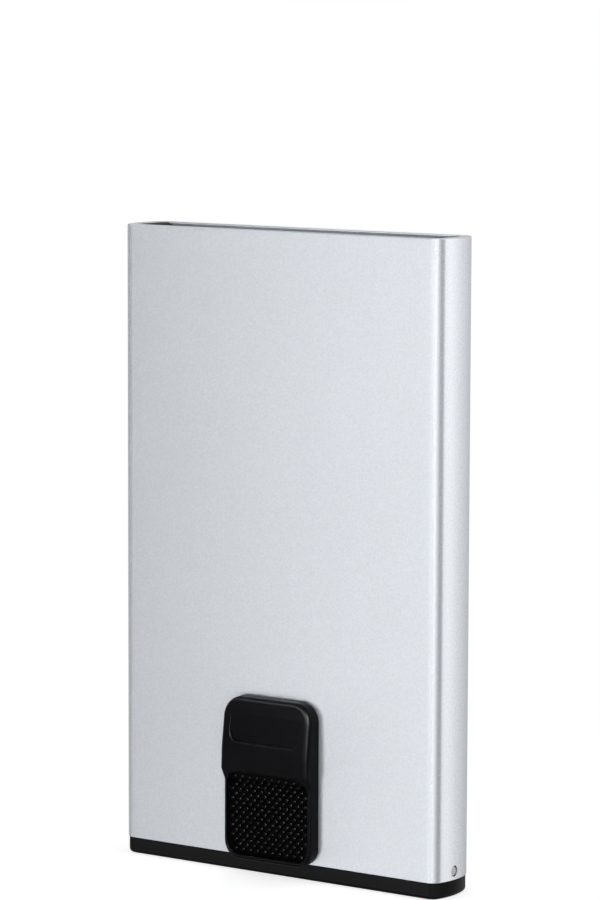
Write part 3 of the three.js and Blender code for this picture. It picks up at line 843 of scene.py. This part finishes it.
def slideRecess(outline, floor, edge):
    # a recess with a rounded lip that follows the slide's front
    outline = dense(outline, slideShape["step"])
    rings = [[(x, slideLow.y - fits["past"], z) for x, z in standBack(outline, -edge)]]
    turn = quarterRound(slideShape["lipSteps"])
    for step, (depth, grow) in enumerate(turn):
        drop = edge * (depth - slideShape["lipLift"])
        deepest = floor - slideShape["lipGap"] * (len(turn) - step)
        lip = standBack(outline, -edge * grow)
        rings.append([(x, min(slideFront(z) + drop, deepest), z) for x, z in lip])
    rings.append([(x, floor, z) for x, z in outline])
    return skin(rings)


def padOutline(grow):
    half = slideHigh.x - slideShape["padRim"] + grow
    bottom = slideLow.z + slideShape["padMargin"] - grow
    top = ledgeBottom + slideShape["padReach"] + grow
    corner = slideShape["padCorner"] + grow
    return panel(-half, bottom, half, top, corner, corner, slideShape["cornerSteps"])


def scoopOutline():
    half, corner = slideHigh.x - slideShape["scoopMargin"], slideShape["scoopCorner"]
    bottom, top = crestTop + slideShape["scoopRise"], slideHigh.z + corner * 2   # open at the upper end
    return panel(-half, bottom, half, top, corner, corner, slideShape["cornerSteps"])


def makeSlide():
    slide = solid("thumb_slide", slideBody())
    carve(slide, slideRecess(padOutline(fits["push"]), padHigh.y, slideShape["padLip"]))
    scoopFloor = slideLow.y + slideShape["scoopDepth"]
    carve(slide, slideRecess(scoopOutline(), scoopFloor, slideShape["scoopLip"]))
    return dress(slide, "black_moulding", "slider_button")


# Studded grip pad, which follows the slide's front up the ledge

padShape = {
    "drop": 0.5 * mm,             # of the pad's face behind the slide's front
    "edgeRound": 0.1 * mm,
    "edgeSteps": 4,
    "studRadius": 0.52 * mm,
    "studHeight": 0.35 * mm,
    "studPitchX": 1.44 * mm,
    "studPitchZ": 1.516 * mm,     # over two rows
    "studSink": 0.05 * mm,
    "studSides": 14,
    "studDome": (                 # shares of the radius and the height
        (1, 0), (0.94, 0.3), (0.8, 0.58), (0.6, 0.8), (0.34, 0.95), (0.1, 1)),
}


def padFace(z):
    return slideFront(z) + padShape["drop"]


def padBody():
    edge, corner = padShape["edgeRound"], slideShape["padCorner"]
    outline = padHigh.x, padLow.z, padHigh.z, corner, corner
    rings = [[(x, padHigh.y, z) for x, z in halfTablet(*outline, 0)]]
    for inset, depth in quarterRound(padShape["edgeSteps"]):
        chain = halfTablet(*outline, edge * inset)
        rings.append([(x, padFace(z) + edge * depth, z) for x, z in chain])
    return ladder(rings)


def addStud(body, x, z):
    radius, sides = padShape["studRadius"], padShape["studSides"]
    levels = [(radius, padFace(z - radius) + padShape["studSink"])]
    for reach, rise in padShape["studDome"]:
        levels.append((radius * reach, padFace(z) - padShape["studHeight"] * rise))
    tube(body, [[placed("y", point, y) for point in circle(x, z, reach, sides)] for reach, y in levels])


def studField():
    body = bmesh.new()
    height, width = padHigh.z - padLow.z, padHigh.x - padLow.x
    corner = slideShape["padCorner"]
    reach = corner - padShape["studRadius"]
    rows = math.floor(height / padShape["studPitchZ"])
    columns = math.ceil(width / padShape["studPitchX"])
    for row in range(-rows, rows + 1):
        z = row * padShape["studPitchZ"] / 2
        for column in range(-columns, columns + 1):
            x = (column + (row + 1) % 2 / 2) * padShape["studPitchX"]
            overX = max(0, abs(x) - (width / 2 - corner))
            overZ = max(0, abs(z) - (height / 2 - corner))
            if math.hypot(overX, overZ) <= reach:
                addStud(body, x, (padLow.z + padHigh.z) / 2 + z)
    bmesh.ops.recalc_face_normals(body, faces=body.faces)
    return body


def makePad():
    pad = weld(solid("stud_pad", padBody()), studField())
    return dress(pad, "grip_rubber", "grip_pad")


# Plate behind the slide, with the leg that runs in the slot

plateShape = {
    "thickness": 0.6 * mm,
    "inset": 0.05 * mm,
    "edgeRound": 0.12 * mm,
    "legHalf": 4.2 * mm,
    "legGap": 0.3 * mm,           # over the cap
    "legHeight": 4.8 * mm,
    "legCorner": 1.2 * mm,
}


def makePlate():
    inset, edge = plateShape["inset"], plateShape["edgeRound"]
    half = slideHigh.x - inset
    outline = panel(
        -half, plateLow.z, half, plateHigh.z, slideShape["bottomCorner"] - inset,
        slideShape["topCorner"] - inset, slideShape["cornerSteps"])
    back = plateLow.y + plateShape["thickness"]
    plate = solid("slide_plate", pulled(outline, "y", plateLow.y, back, edge, edge))
    legHalf, corner = plateShape["legHalf"], plateShape["legCorner"]
    legLow = sleeveLow.z + plateShape["legGap"]
    leg = panel(-legHalf, legLow, legHalf, legLow + plateShape["legHeight"], corner, corner)
    # the leg's deeper part stays under the lowest tread
    heel = panel(-legHalf, legLow, legHalf, carriageLow.z + carriageShape["firstTread"], corner, edge)
    weld(plate, pulled(leg, "y", back - plateShape["thickness"] / 2, -pocketHigh.y, 0, edge))
    weld(plate, pulled(heel, "y", back, plateHigh.y, 0, edge))
    hole = drill(
        screwShape["radius"] + fits["bore"], "y", screwCentre,
        plateLow.y - fits["past"], plateHigh.y + fits["past"])
    carve(plate, *bothSides(hole))
    return dress(plate, "black_moulding", "slider_back_plate")


# Stepped carriage behind the slide, with arms that run on the guide rods

carriageShape = {
    "stepCount": 6,
    "firstTread": 3.6 * mm,       # above the underside
    "stepRise": 2.4 * mm,
    "noseRound": 0.25 * mm,
    "noseSteps": 5,
    "halfWidth": 21.69 * mm,
    "endRound": 0.2 * mm,
    "shellWall": 1.4 * mm,
    "ribWidth": 1.2 * mm,
    "bayCount": 2,
    "armHeight": 3 * mm,
    "coilGap": 0.2 * mm,          # from the arms to the return springs
    "armFront": 1.6 * mm,
    "armBack": 3.2 * mm,
    "earHalf": 1.18 * mm,
    "earFront": -1.6 * mm,
    "earRound": 0.4 * mm,
}
treadDepth = (carriageHigh.y - carriageLow.y) / carriageShape["stepCount"]


def treadHeight(step):
    return carriageLow.z + carriageShape["firstTread"] + step * carriageShape["stepRise"]


def stairOutline():
    nose, last = carriageShape["noseRound"], carriageShape["stepCount"] - 1
    foot = [(carriageLow.y, carriageLow.z, nose), (carriageHigh.y, carriageLow.z, nose)]
    stair = []
    for step in range(last + 1):
        start = carriageLow.y + step * treadDepth
        inner = nose if step == last else nose / 2
        stair += [(start, treadHeight(step), nose), (start + treadDepth, treadHeight(step), inner)]
    return rounded(foot + stair[::-1], carriageShape["noseSteps"])


def coreOutline():
    # the hollow under the stair, one shell below each tread
    wall = carriageShape["shellWall"]
    bottom, back = carriageLow.z - fits["past"], carriageHigh.y - wall
    core = [(carriageLow.y + treadDepth, bottom)]
    for step in range(1, carriageShape["stepCount"]):
        start = carriageLow.y + step * treadDepth
        if start < back:
            ceiling = treadHeight(step - 1) - wall
            core += [(start, ceiling), (min(start + treadDepth, back), ceiling)]
    core.append((back, bottom))
    return list(reversed(core))


def hollowCarriage(carriage):
    wall, rib, bays = carriageShape["shellWall"], carriageShape["ribWidth"], carriageShape["bayCount"]
    middle = screwCentre[0] + screwShape["headRadius"] + wall
    bayWidth = (carriageShape["halfWidth"] - middle - rib * bays) / bays
    for bay in range(bays):
        near = middle + bay * (bayWidth + rib)
        carve(carriage, *bothSides(pulled(coreOutline(), "x", near, near + bayWidth)))


def addArms(carriage):
    end, turn, back = carriageShape["endRound"], carriageShape["earRound"], carriageShape["armBack"]
    high = coilLow.z - carriageShape["coilGap"]
    low = high - carriageShape["armHeight"]
    earLow, earHigh = rodX - carriageShape["earHalf"], rodX + carriageShape["earHalf"]
    arm = panel(carriageShape["armFront"], low, back, high, end, end)
    armStart = carriageShape["halfWidth"] - carriageShape["shellWall"] / 2
    ear = panel(earLow, carriageShape["earFront"], earHigh, back, turn, turn)
    weld(carriage, *bothSides(pulled(arm, "x", armStart, earHigh - end, 0, end)))
    weld(carriage, *bothSides(pulled(ear, "z", low, high, end, end)))
    rodBore = rodShape["radius"] + fits["bore"]
    bore = drill(rodBore, "z", (rodX, 0), low - fits["past"], high + fits["past"])
    carve(carriage, *bothSides(bore))


def makeCarriage():
    half, end = carriageShape["halfWidth"], carriageShape["endRound"]
    carriage = solid("stair_carriage", pulled(stairOutline(), "x", -half, half, end, end))
    hollowCarriage(carriage)
    addArms(carriage)
    shank = screwShape["radius"] + fits["bore"]
    head = screwShape["headRadius"] + fits["bore"]
    seat = screwHigh.y - screwShape["headHeight"]
    profile = [(shank, carriageLow.y - fits["past"]), (shank, seat), (head, seat), (head, pocketHigh.y)]
    carve(carriage, *bothSides(turned(profile, "y", screwCentre)))
    return dress(carriage, "inner_polymer", "ejector_carriage")


# Screws that hold the carriage to the slide

screwShape = {
    "radius": 0.7 * mm,
    "rootRadius": 0.52 * mm,
    "threadPitch": 0.5 * mm,
    "threadSteps": 8,             # along one pitch
    "threadCrest": 1.4,           # over 1 flattens the crests
    "headRadius": 1.2 * mm,
    "headHeight": 0.9 * mm,
    "headRound": 0.35 * mm,
    "headSteps": 5,
    "tipRound": 0.3 * mm,
    "socketRadius": 0.55 * mm,
    "socketDepth": 0.5 * mm,
    "socketSides": 6,
    "plainLength": 0.6 * mm,
    "sides": 24,
}


def threadRing(y):
    radius, root, sides = screwShape["radius"], screwShape["rootRadius"], screwShape["sides"]
    centreX, centreZ = screwCentre
    ring = []
    for side in range(sides):
        turn = ((y - screwLow.y) / screwShape["threadPitch"] + side / sides) % 1
        crest = 1 - abs(2 * turn - 1)
        reach = root + (radius - root) * min(1, crest * screwShape["threadCrest"])
        reach = min(reach, radius - screwShape["tipRound"] + (y - screwLow.y))
        angle = 2 * math.pi * side / sides
        ring.append((centreX + reach * math.cos(angle), y, centreZ + reach * math.sin(angle)))
    return ring


def screwBody():
    seat, plain = screwHigh.y - screwShape["headHeight"], screwShape["plainLength"]
    threaded = seat - plain - screwLow.y
    steps = math.ceil(threaded / screwShape["threadPitch"] * screwShape["threadSteps"])
    rings = [threadRing(screwLow.y + threaded * step / steps) for step in range(steps + 1)]
    radius, head, turn = screwShape["radius"], screwShape["headRadius"], screwShape["headRound"]
    profile = [(radius, seat - plain / 2), (radius, seat), (head, seat)]
    for inset, drop in quarterRound(screwShape["headSteps"]):
        profile.append((head - turn * inset, screwHigh.y - turn * drop))
    for reach, y in profile:
        rings.append([placed("y", point, y) for point in circle(*screwCentre, reach, screwShape["sides"])])
    return skin(rings)


def makeScrews():
    socketFloor = screwHigh.y - screwShape["socketDepth"]
    socket = circle(*screwCentre, screwShape["socketRadius"], screwShape["socketSides"])
    for hand in hands:
        screw = solid("screw_" + hand, screwBody())
        carve(screw, pulled(socket, "y", socketFloor, screwHigh.y + fits["past"]))
        if hand == "left":
            moveLeft(screw, screwCentre[0])
        dress(screw, "spring_steel", "carriage_screw_" + hand)


# Guide rods and return springs

rodShape = {"radius": 0.7 * mm, "endRound": 0.25 * mm, "sides": 40}
coilShape = {
    "wire": 0.2 * mm,
    "turns": 18,
    "closedTurns": 1.25,          # at each end, where the turns lie on each other
    "closedPitch": 1.05,          # of those turns, in wire thicknesses
    "stepsPerTurn": 36,
    "wireSides": 10,
}


def makeRods():
    end = rodShape["endRound"]
    outline = circle(rodX, 0, rodShape["radius"], rodShape["sides"])
    rod = pulled(outline, "z", rodLow.z, rodHigh.z, end, end)
    dressTwins("rod", rod, "spring_steel", "guide_rod")


def coilHeight(turn):
    # height of the wire's middle above its lower end, after a number of turns
    closed = coilShape["closedTurns"]
    closedPitch = coilShape["wire"] * coilShape["closedPitch"]
    openTurns = coilShape["turns"] - 2 * closed
    full = coilHigh.z - coilLow.z - coilShape["wire"]
    openPitch = (full - 2 * closed * closedPitch) / openTurns
    middle = min(max(turn - closed, 0), openTurns)
    return (turn - middle) * closedPitch + middle * openPitch


def coilBody():
    wireRadius, sides = coilShape["wire"] / 2, coilShape["wireSides"]
    radius = (coilHigh.x - coilLow.x) / 2 - wireRadius
    rings = []
    for step in range(coilShape["turns"] * coilShape["stepsPerTurn"] + 1):
        turn = step / coilShape["stepsPerTurn"]
        angle = 2 * math.pi * turn
        outward = Vector((math.cos(angle), math.sin(angle), 0))
        middle = outward * radius + Vector((rodX, 0, coilLow.z + wireRadius + coilHeight(turn)))
        ring = []
        for side in range(sides):
            spin = 2 * math.pi * side / sides
            ring.append(middle + (outward * math.cos(spin) + Vector((0, 0, math.sin(spin)))) * wireRadius)
        rings.append(ring)
    return skin(rings)


def makeCoils():
    for hand, side in zip(hands, (1, -1)):
        coil = solid("coil_" + hand, coilBody())
        if hand == "left":
            moveLeft(coil, rodX)
        coat(coil, "spring_steel")
        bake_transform(coil)
        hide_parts("return_spring_" + hand)


# Side rails and the leaf springs that they hold

railShape = {
    "stripInner": 28.14 * mm,
    "leafSlotInner": 27.59 * mm,
    "leadIn": 0.4 * mm,
    "blockHalf": 3.35 * mm,
    "edgeRound": 0.1 * mm,
    "blockRound": 0.08 * mm,
    "cornerRound": 0.2 * mm,
    "stripSteps": 8,
    "blockSteps": 5,
    "blockEdgeSteps": 3,
    "step": 0.06 * mm,            # of the blocks behind the strip's ends
    "reach": 0.92 * mm,           # of the upper end past its solid, nearly to the rim
}
leafShape = {
    "thickness": 0.25 * mm,
    "tab": 1.7 * mm,              # flat end inside the rail
    "slit": 0.3 * mm,
    "bridge": 3.5 * mm,           # uncut length at each end of the bow
    "fingers": 6,
    "fingerPitch": 1.27 * mm,
    "steps": 72,
}


def railStrip():
    inner, outer, halfY = railShape["stripInner"], railHigh.x, pocketHigh.y - fits["push"]
    turn, corner = railShape["cornerRound"], caseShape["innerCorner"] - fits["push"]
    outline = rounded(
        [(inner, -halfY, turn), (outer, -halfY, corner), (outer, halfY, corner), (inner, halfY, turn)],
        railShape["stripSteps"])
    edge = railShape["edgeRound"]
    return pulled(outline, "z", railLow.z, railHigh.z + railShape["reach"], edge, edge)


def railBlocks():
    # the head and foot that hold the leaf spring's ends
    near, slot, lap = railLow.x, railShape["leafSlotInner"], railShape["stripInner"] + fits["run"]
    top = railHigh.z + railShape["reach"] - railShape["step"]
    bottom = railLow.z + railShape["step"]
    headBottom, slotHigh = leafHigh.z - leafShape["tab"], leafHigh.z + fits["push"]
    footTop, slotLow = leafLow.z + leafShape["tab"], leafLow.z - fits["push"]
    leadIn, turn, half = railShape["leadIn"], railShape["cornerRound"], railShape["blockHalf"]
    edge = railShape["blockRound"]
    head = [
        (lap, top, 0), (near + leadIn, top, leadIn / 2), (near, top - leadIn, leadIn / 2),
        (near, headBottom, turn / 2), (slot, headBottom, turn / 2), (slot, slotHigh, 0), (lap, slotHigh, 0)]
    foot = [
        (lap, slotLow, 0), (slot, slotLow, 0), (slot, footTop, turn / 2),
        (near, footTop, turn / 2), (near, bottom, turn), (lap, bottom, 0)]
    steps, edgeSteps = railShape["blockSteps"], railShape["blockEdgeSteps"]
    return [pulled(rounded(block, steps), "y", -half, half, edge, edge, edgeSteps) for block in (head, foot)]


def makeRails():
    bore = rodShape["radius"] + fits["bore"]
    for hand in hands:
        rail = weld(solid("rail_" + hand, railStrip()), *railBlocks())
        carve(rail, drill(bore, "z", (rodX, 0), railLow.z - fits["past"], rodHigh.z + fits["bore"]))
        if hand == "left":
            mirrorLeft(rail)
        dress(rail, "inner_polymer", "side_rail_" + hand)


def leafBody():
    # a strip on a grid of finger edges across and steps along, with open slits between the fingers
    steps, slit, fingers = leafShape["steps"], leafShape["slit"], leafShape["fingers"]
    seat = leafHigh.x - leafShape["thickness"]
    bowLow, bowHigh = leafLow.z + leafShape["tab"], leafHigh.z - leafShape["tab"]
    slitLow, slitHigh = bowLow + leafShape["bridge"], bowHigh - leafShape["bridge"]
    bow = [bowLow + (bowHigh - bowLow) * step / steps for step in range(steps + 1)]
    heights = sorted({leafLow.z, *bow, slitLow, slitHigh, leafHigh.z})
    edges = [leafLow.y]
    for finger in range(1, fingers):
        middle = (finger - fingers / 2) * leafShape["fingerPitch"]
        edges += [middle - slit / 2, middle + slit / 2]
    edges.append(leafHigh.y)
    body = bmesh.new()
    grid = []
    for z in heights:
        along = min(max((z - bowLow) / (bowHigh - bowLow), 0), 1)
        x = seat - (seat - leafLow.x) * math.sin(math.pi * along) ** 2
        grid.append([body.verts.new((x, y, z)) for y in edges])
    for level in range(len(heights) - 1):
        lower, upper = grid[level], grid[level + 1]
        inSlits = slitLow < (heights[level] + heights[level + 1]) / 2 < slitHigh
        for column in range(0, len(edges) - 1, 2 if inSlits else 1):
            body.faces.new((lower[column], lower[column + 1], upper[column + 1], upper[column]))
    return body


def makeLeaves():
    for hand in hands:
        leaf = solid("leaf_" + hand, leafBody())
        sheet = leaf.modifiers.new("sheet", "SOLIDIFY")
        sheet.thickness = leafShape["thickness"]
        sheet.offset = 1
        settle(leaf)
        if hand == "left":
            mirrorLeft(leaf)
        dress(leaf, "spring_steel", "card_leaf_" + hand)


makeSleeve()
blackPieces = {"cap": makeCap(), "slide": makeSlide(), "pad": makePad(), "plate": makePlate()}
makePins()
makeCarriage()
makeScrews()
makeRods()
makeCoils()
makeRails()
makeLeaves()


# Studio: white floor and surroundings, soft lamps, and rings of bright and dark walls to be reflected

studio = {
    "floorSize": 40,
    "floorColour": (0.86, 0.86, 0.86),
    "floorRoughness": 0.9,
    "floorGlow": 0.75,            # share of plain white that the camera sees in the floor
    "fill": 0.3,                  # strength of the surroundings on matt surfaces
    "wallSlopes": (-70, -20, 0, 70),   # degrees of the walls' edges from the level
    "wallFoot": -20,              # where their brightness stops falling
    "wallMiddle": 0.0525,         # height from which the slopes are counted
    "glintDistance": 0.12,        # inside the walls
    "glintMiddle": 0.018,         # height from which the glints' heights are counted
    "glintSteps": 8,
}
# place and size in metres, and the brightness of the box's face
softboxes = {
    "key": {"place": (0.14, -0.55, 0.68), "size": (0.4, 0.18), "radiance": 24},
    "strip": {"place": (0.29, -0.45, 0.33), "size": (0.05, 0.46), "radiance": 9},
}
# each wall is a ring round the holder, with its brightness at some bearings, 0 to the right and
# 90 behind; it falls by a share for each degree below the level
walls = {
    "near": {"distance": 0.14, "fall": 0, "light": (
        (-215, 0.54), (-150, 0.54), (-147, 0.12), (-108, 0.12),
        (-105, 4.3), (-94, 4.3), (-91, 0.6), (-72, 0.6))},
    "far": {"distance": 0.5, "fall": 0.008, "light": (
        (-86, 1.12), (-70, 1.25), (-60, 1.5), (-48, 1.2), (-36, 0.82), (-22, 0.48), (-4, 0.4), (8, 0.6),
        (18, 1.25), (26, 1.42), (37, 1.13), (46, 0.97), (56, 0.87), (67, 0.78), (80, 0.64), (145, 0.6))},
}
# patches between two bearings and two heights above the level, in degrees, that light only some pieces
glints = {
    "right": {"bearings": (-46, -26), "heights": (-10, 8), "brightness": 7, "on": ("slide", "plate")},
    "corner": {"bearings": (-46, -26), "heights": (8, 46), "brightness": 100, "on": ("slide", "plate")},
    "studs": {"bearings": (-46, -26), "heights": (0, 46), "brightness": 112, "on": ("pad",)},
    "shoulder": {"bearings": (-112, -46), "heights": (18, 42), "brightness": 28, "on": ("slide",)},
    "crown": {"bearings": (-150, -112), "heights": (32, 50), "brightness": 16, "on": ("slide",)},
    "sheen": {"bearings": (-150, -100), "heights": (-40, -2), "brightness": 0.9, "on": ("slide", "plate")},
    "foot": {"bearings": (-150, 8), "heights": (-40, 5), "brightness": 2.7, "on": ("cap",)},
    "end": {"bearings": (8, 75), "heights": (-40, 3), "brightness": 0.3, "on": ("cap",)},
}


def rayMix(tree, plain, seen):
    # seen by the camera, in metal and through glass; plain for the light on matt surfaces
    rays = addNode(tree, "LightPath", {}).outputs
    share = rays["Is Camera Ray"]
    for name in ("Is Glossy Ray", "Is Transmission Ray"):
        share = addNode(tree, "Math", {0: share, 1: rays[name]}, operation="MAXIMUM").outputs["Value"]
    return addNode(tree, "MixShader", {"Fac": share, 1: plain, 2: seen}).outputs["Shader"]


def together(tree, first, second):
    return addNode(tree, "AddShader", {0: first, 1: second}).outputs["Shader"]


def makeSurroundings():
    world = bpy.data.worlds.new("white studio")
    world.use_nodes = True
    tree = world.node_tree
    white = (1, 1, 1, 1)
    plain, seen = tree.nodes["Background"], addNode(tree, "Background", {"Color": white, "Strength": 1})
    feed(tree, plain, {"Color": white, "Strength": studio["fill"]})
    mixed = rayMix(tree, plain.outputs["Background"], seen.outputs["Background"])
    feed(tree, tree.nodes["World Output"], {"Surface": mixed})
    scene.world = world


def makeFloor():
    material, tree, shader = startFinish("pale floor")
    feed(tree, shader, {
        "Base Color": (*studio["floorColour"], 1),
        "Roughness": studio["floorRoughness"],
        "Specular IOR Level": 0,
    })
    white = addNode(tree, "Emission", {"Strength": studio["floorGlow"]})
    plain = shader.outputs["BSDF"]
    seen = together(tree, plain, white.outputs["Emission"])
    feed(tree, tree.nodes["Material Output"], {"Surface": rayMix(tree, plain, seen)})
    body = bmesh.new()
    half = studio["floorSize"] / 2
    corners = ((-half, -half), (half, -half), (half, half), (-half, half))
    body.faces.new([body.verts.new((x, y, 0)) for x, y in corners])
    floor = solid("floor", body)
    floor.data.materials.append(material)
    floor.visible_glossy = False
    floor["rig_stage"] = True


def facing(place, target):
    direction = Vector(place) - Vector(target)
    return Matrix.Translation(place) @ direction.to_track_quat("Z", "Y").to_matrix().to_4x4()


def onlyFor(emitter, receivers):
    group = bpy.data.collections.new(emitter.name + " receivers")
    for piece in receivers:
        group.objects.link(piece)
    emitter.light_linking.receiver_collection = group


def makeLights():
    middle = (cadLow + cadHigh) / 2
    for name, box in softboxes.items():
        light = bpy.data.lights.new(name, "AREA")
        light.shape = "RECTANGLE"
        light.size, light.size_y = box["size"]
        light.energy = box["radiance"] * math.pi * light.size * light.size_y
        lamp = bpy.data.objects.new(name + "Softbox", light)
        lamp.matrix_world = facing(box["place"], middle)
        lamp.visible_camera = False
        lamp.visible_glossy = False
        scene.collection.objects.link(lamp)
        onlyFor(lamp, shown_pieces())    # so that the floor keeps the soft shadow of the surroundings


def glow(name, brightness):
    material, tree = startFinish(name)[:2]
    face = addNode(tree, "Emission", {"Strength": brightness})
    feed(tree, tree.nodes["Material Output"], {"Surface": face.outputs["Emission"]})
    material.cycles.emission_sampling = "NONE"
    return material, tree, face


def reflected(name, body, material):
    # a sheet that only reflections show, and that casts no shadow
    sheet = solid(name, body)
    sheet.data.materials.append(material)
    sheet.visible_camera = False
    sheet.visible_diffuse = False
    sheet.visible_shadow = False
    return sheet


def makeWalls():
    material, tree, face = glow("wall light", 1)
    brightness = addNode(tree, "Attribute", {}, attribute_name="light")
    feed(tree, face, {"Strength": brightness.outputs["Fac"]})
    for name, wall in walls.items():
        body = bmesh.new()
        light = body.verts.layers.float.new("light")
        first, last = wall["light"][0][0], wall["light"][-1][0]
        ring = arc(0, 0, wall["distance"], first, last, last - first)
        tiers = []
        for slope in studio["wallSlopes"]:
            height = studio["wallMiddle"] + wall["distance"] * math.tan(math.radians(slope))
            share = 1 + wall["fall"] * min(max(slope, studio["wallFoot"]), 0)
            tier = [body.verts.new((x, y, height)) for x, y in ring]
            for bearing, point in enumerate(tier, first):
                point[light] = between(wall["light"], bearing) * share
            tiers.append(tier)
        bridge(body, tiers, closed=False)
        piece = reflected(name + "Wall", body, material)
        piece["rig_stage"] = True


def makeGlints(receivers):
    # clear patches that add their light to the black edges, and let everything else see the walls behind
    distance, steps = studio["glintDistance"], studio["glintSteps"]
    for name, glint in glints.items():
        material, tree, face = glow(name + " glint", glint["brightness"])
        clear = addNode(tree, "BsdfTransparent", {})
        both = together(tree, face.outputs["Emission"], clear.outputs["BSDF"])
        feed(tree, tree.nodes["Material Output"], {"Surface": both})
        (start, end), (low, high) = glint["bearings"], glint["heights"]
        body = bmesh.new()
        tiers = []
        for step in range(steps + 1):
            rise = math.radians(low + (high - low) * step / steps)
            level = studio["glintMiddle"] + distance * math.sin(rise)
            line = arc(0, 0, distance * math.cos(rise), start, end, steps)
            tiers.append([body.verts.new((x, y, level)) for x, y in line])
        bridge(body, tiers, closed=False)
        piece = reflected(name + "Glint", body, material)
        onlyFor(piece, [receivers[black] for black in glint["on"]])
        piece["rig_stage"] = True


viewpoint = {
    "azimuth": 34.64,             # degrees round from the front
    "downTilt": 6.85,
    "roll": 0.18,
    "place": (360.96 * mm, -521.08 * mm, 145.74 * mm),
    "focalPixels": 3934,          # in the 600 by 900 frame
    "longSidePixels": 900,
    "sensor": 36,
    "clip": (0.01, 100),
}


def makeCamera():
    data = bpy.data.cameras.new("camera")
    data.sensor_width = viewpoint["sensor"]
    data.lens = viewpoint["focalPixels"] / viewpoint["longSidePixels"] * viewpoint["sensor"]
    data.clip_start, data.clip_end = viewpoint["clip"]
    camera = bpy.data.objects.new("camera", data)
    camera.matrix_world = (
        Matrix.Translation(viewpoint["place"])
        @ Matrix.Rotation(math.radians(viewpoint["azimuth"]), 4, "Z")
        @ Matrix.Rotation(math.radians(90 - viewpoint["downTilt"]), 4, "X")
        @ Matrix.Rotation(math.radians(viewpoint["roll"]), 4, "Z"))
    scene.collection.objects.link(camera)
    scene.camera = camera


makeSurroundings()
makeFloor()
makeLights()
makeWalls()
makeGlints(blackPieces)
makeCamera()
scene.view_settings.view_transform = "Standard"
print("studio:", len(softboxes), "softboxes,", len(walls), "walls,", len(glints), "glints")
